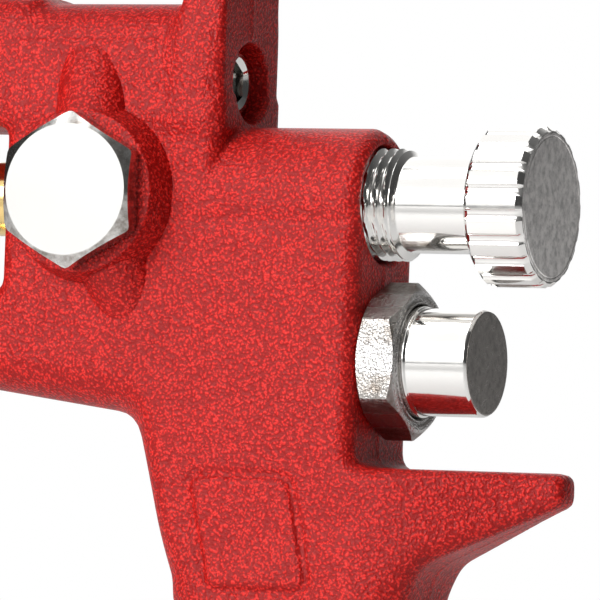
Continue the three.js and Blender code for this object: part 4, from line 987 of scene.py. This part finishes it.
# ---------------------------------------------------------------- cup and lid
AT_NECK = (NECK_X, 0, 0)
CUP_FOOT = 43.0
CONE_TOP = CUP_FOOT + 20
columns("cup_stem_collar", "z", AT_NECK,
        [(NECK_TOP - 10, 4.6), (NECK_TOP - 10, 7.5), (NECK_TOP - 9.5, 8), (NECK_TOP + 1.1, 8)]
        + hex_rows(NECK_TOP + 1.1, NECK_TOP + 6, 21.4, face0=10.6, face1=10.6)
        + [(NECK_TOP + 6, 4.6)], STEEL, "gun", ["cup_stem"], "steel", closed=True)
turned("paint_cup", "z", AT_NECK, [
    (CUP_FOOT + 0.1, 4.7), (CUP_FOOT + 0.1, 9, 0.3), (CUP_FOOT + 1.5, 10.3, 1), (CUP_FOOT + 5, 15, 4),
    (CONE_TOP - 3, CUP_R - 4.5, 5), (CONE_TOP + 3, CUP_R, 4), (CUP_TOP - 12, CUP_R, 0.2),
    (CUP_TOP - 0.8, CUP_R, 0.3), (CUP_TOP, CUP_R - 0.8, 0.3), (CUP_TOP - 0.6, CUP_R - 1.6, 0.3),
    (CONE_TOP + 4, CUP_R - 1.6, 4), (CONE_TOP - 1, CUP_R - 5.6, 4), (CUP_FOOT + 4.4, 10, 3),
    (CUP_FOOT + 2, 4.7, 0.5)], ALUMINIUM, "gun", ["cup"], turns=160, closed=True)
LID_TOP = CUP_TOP + 5


def gripped(along, radius, angle):
    """Lid: sixteen shallow scallops round its skirt, that run out under its top edge."""
    across = np.abs(np.mod(angle * 16 / TAU + 0.5, 1) - 0.5) * 2
    dip = 1.1 * np.sqrt(np.clip(1 - (across / 0.36) ** 2, 0, 1))
    on = ease((radius - CUP_R - 0.9) / 0.8) * ease((CUP_TOP + 2.2 - along) / 1.6)
    return along + 0 * angle, radius - dip * on


turned("paint_cup_lid", "z", AT_NECK, [
    (CUP_TOP - 7.9, CUP_R + 0.45, 0.2), (CUP_TOP - 7.9, CUP_R + 2.2, 0.4), (CUP_TOP - 4, CUP_R + 2.2),
    (CUP_TOP + 0.4, CUP_R + 2.2), (CUP_TOP + 1.2, CUP_R + 2.2),
    (CUP_TOP + 3.2, CUP_R + 2.2, 0.8), (LID_TOP, CUP_R + 0.6, 0.6), (LID_TOP, CUP_R - 5, 0.5),
    (LID_TOP - 1.6, CUP_R - 6, 0.8), (LID_TOP - 1.7, 7, 1), (LID_TOP - 0.9, 5.2, 0.6),
    (LID_TOP - 0.6, 4, 0.2), (LID_TOP + 2.4, 4, 0.4), (LID_TOP + 2.4, 1.2, 0.1), (CUP_TOP + 1.5, 1.2),
    (CUP_TOP + 1.5, CUP_R + 0.45)], PLASTIC, "lid", ["cup_lid"], turns=256, shape=gripped,
    closed=True)


def ribbed(along, radius, angle):
    """Vent cap: a fine ripple round its side."""
    return along + 0 * angle, radius - 0.22 * (1 + np.cos(angle * 24)) / 2 * ease((radius - 5.5) / 0.4)


turned("vent_cap_ribbed", "z", AT_NECK, [
    (LID_TOP + 0.2, 4.4), (LID_TOP + 0.2, 5.9, 0.2), (LID_TOP + 4.2, 6.0, 0.5),
    (LID_TOP + 5, 5.2, 0.5), (LID_TOP + 5, 0),
    (LID_TOP + 3.2, 0), (LID_TOP + 3.2, 4.4)], PLASTIC, "vent", ["vent_cap"], turns=192,
    shape=ribbed, closed=True)

# ---------------------------------------------------------------- finishes of the other nodes
FINISH = {"nickel": NICKEL, "polished_steel": CHROME, "brass": BRASS, "steel": STEEL, "nylon": NYLON,
          "aluminium": ALUMINIUM, "spring_steel": WIRE, "rubber": RUBBER,
          "black_plastic": PLASTIC, "red_paint": RED}
for part in frame["record"]["subparts"]:
    for place in frame["nodes"][part["node"]].material_slots:
        place.material = FINISH[part["material_slot"]]

# ---------------------------------------------------------------- floor, light and camera
scene = bpy.context.scene
scene.view_settings.view_transform = "Standard"
floor_z = cad_box[0][2] - 0.03


def pale_paint(name, colour):
    """Matt pale board with a trace of unevenness."""
    made, nodes, links, shader = material(name)
    slow = grain(nodes, links, 6.0, 3.0, 0.5)
    links.new(ramp(nodes, links, slow, [(0.3, tuple(c * 0.98 for c in colour)), (0.7, colour)]),
              shader.inputs["Base Color"])
    shader.inputs["Roughness"].default_value = 0.9
    return made


floor_mesh = bpy.data.meshes.new("floor")
side = 5.0
corners = [(x, y, floor_z) for x, y in ((-side, -side), (side, -side), (side, side), (-side, side))]
floor_mesh.from_pydata(corners, [], [(0, 1, 2, 3)])
floor = bpy.data.objects.new("floor", floor_mesh)
floor_mesh.materials.append(pale_paint("floor_board", (0.86, 0.86, 0.86)))
scene.collection.objects.link(floor)

world = bpy.data.worlds.new("studio")
scene.world = world
world.use_nodes = True
wn, wl = world.node_tree.nodes, world.node_tree.links
wn.clear()
where = wn.new("ShaderNodeTexCoord")
split = wn.new("ShaderNodeSeparateXYZ")
wl.new(where.outputs["Generated"], split.inputs["Vector"])
along = wn.new("ShaderNodeMath")
along.operation = "MULTIPLY_ADD"
along.inputs[1].default_value = 0.5
along.inputs[2].default_value = 0.5
wl.new(split.outputs["X"], along.inputs[0])
# From ahead of the gun (0) to behind it (1): dark, a wide bright wall, and a dim room.
wall = ramp(wn, wl, along.outputs[0], [
    (0.0, (0.03,)), (0.12, (0.08,)), (0.22, (0.35,)), (0.27, (1.2,)), (0.43, (1.2,)),
    (0.58, (0.22,)), (0.85, (0.07,)), (1.0, (0.05,))])
lit = wn.new("ShaderNodeBackground")
lit.inputs["Color"].default_value = (1, 1, 1, 1)
wl.new(wall, lit.inputs["Strength"])
plain = wn.new("ShaderNodeBackground")
plain.inputs["Color"].default_value = (1, 1, 1, 1)
plain.inputs["Strength"].default_value = 1.0
path = wn.new("ShaderNodeLightPath")
mixed = wn.new("ShaderNodeMixShader")
wl.new(path.outputs["Is Camera Ray"], mixed.inputs["Fac"])
wl.new(lit.outputs["Background"], mixed.inputs[1])
wl.new(plain.outputs["Background"], mixed.inputs[2])
out = wn.new("ShaderNodeOutputWorld")
wl.new(mixed.outputs["Shader"], out.inputs["Surface"])

target = Vector(frame_at(37.2, 0, -11.9))


def softbox(name, offset, size, power):
    """A square lamp that looks at the gun: metres from the target, metres wide, watts."""
    lamp = bpy.data.lights.new(name, "AREA")
    lamp.shape = "SQUARE"
    lamp.size = size
    lamp.energy = power
    holder = bpy.data.objects.new(name, lamp)
    holder.location = target + Vector(offset)
    holder.rotation_euler = (-Vector(offset)).to_track_quat("-Z", "Y").to_euler()
    scene.collection.objects.link(holder)


softbox("key", (-0.15, -0.38, 0.16), 0.20, 1.1)
softbox("front", (-0.35, -1.75, 0.55), 0.9, 11)
softbox("top", (-0.3, -0.2, 1.8), 1.2, 9)

AZIMUTH, ELEVATION, ROLL = (math.radians(a) for a in (24.5, -2.0, 2.1))
DISTANCE = 0.88
FOCAL_LENGTH = 428
back = Vector((math.sin(AZIMUTH) * math.cos(ELEVATION), -math.cos(AZIMUTH) * math.cos(ELEVATION),
               math.sin(ELEVATION)))
lens = bpy.data.cameras.new("camera")
lens.sensor_width = 36
lens.lens = FOCAL_LENGTH
lens.clip_start, lens.clip_end = 0.05, 50
camera = bpy.data.objects.new("camera", lens)
camera.rotation_mode = "QUATERNION"
camera.location = target + back * DISTANCE
camera.rotation_quaternion = (-back).to_track_quat("-Z", "Y") @ Quaternion((0, 0, 1), ROLL)
scene.collection.objects.link(camera)
scene.camera = camera
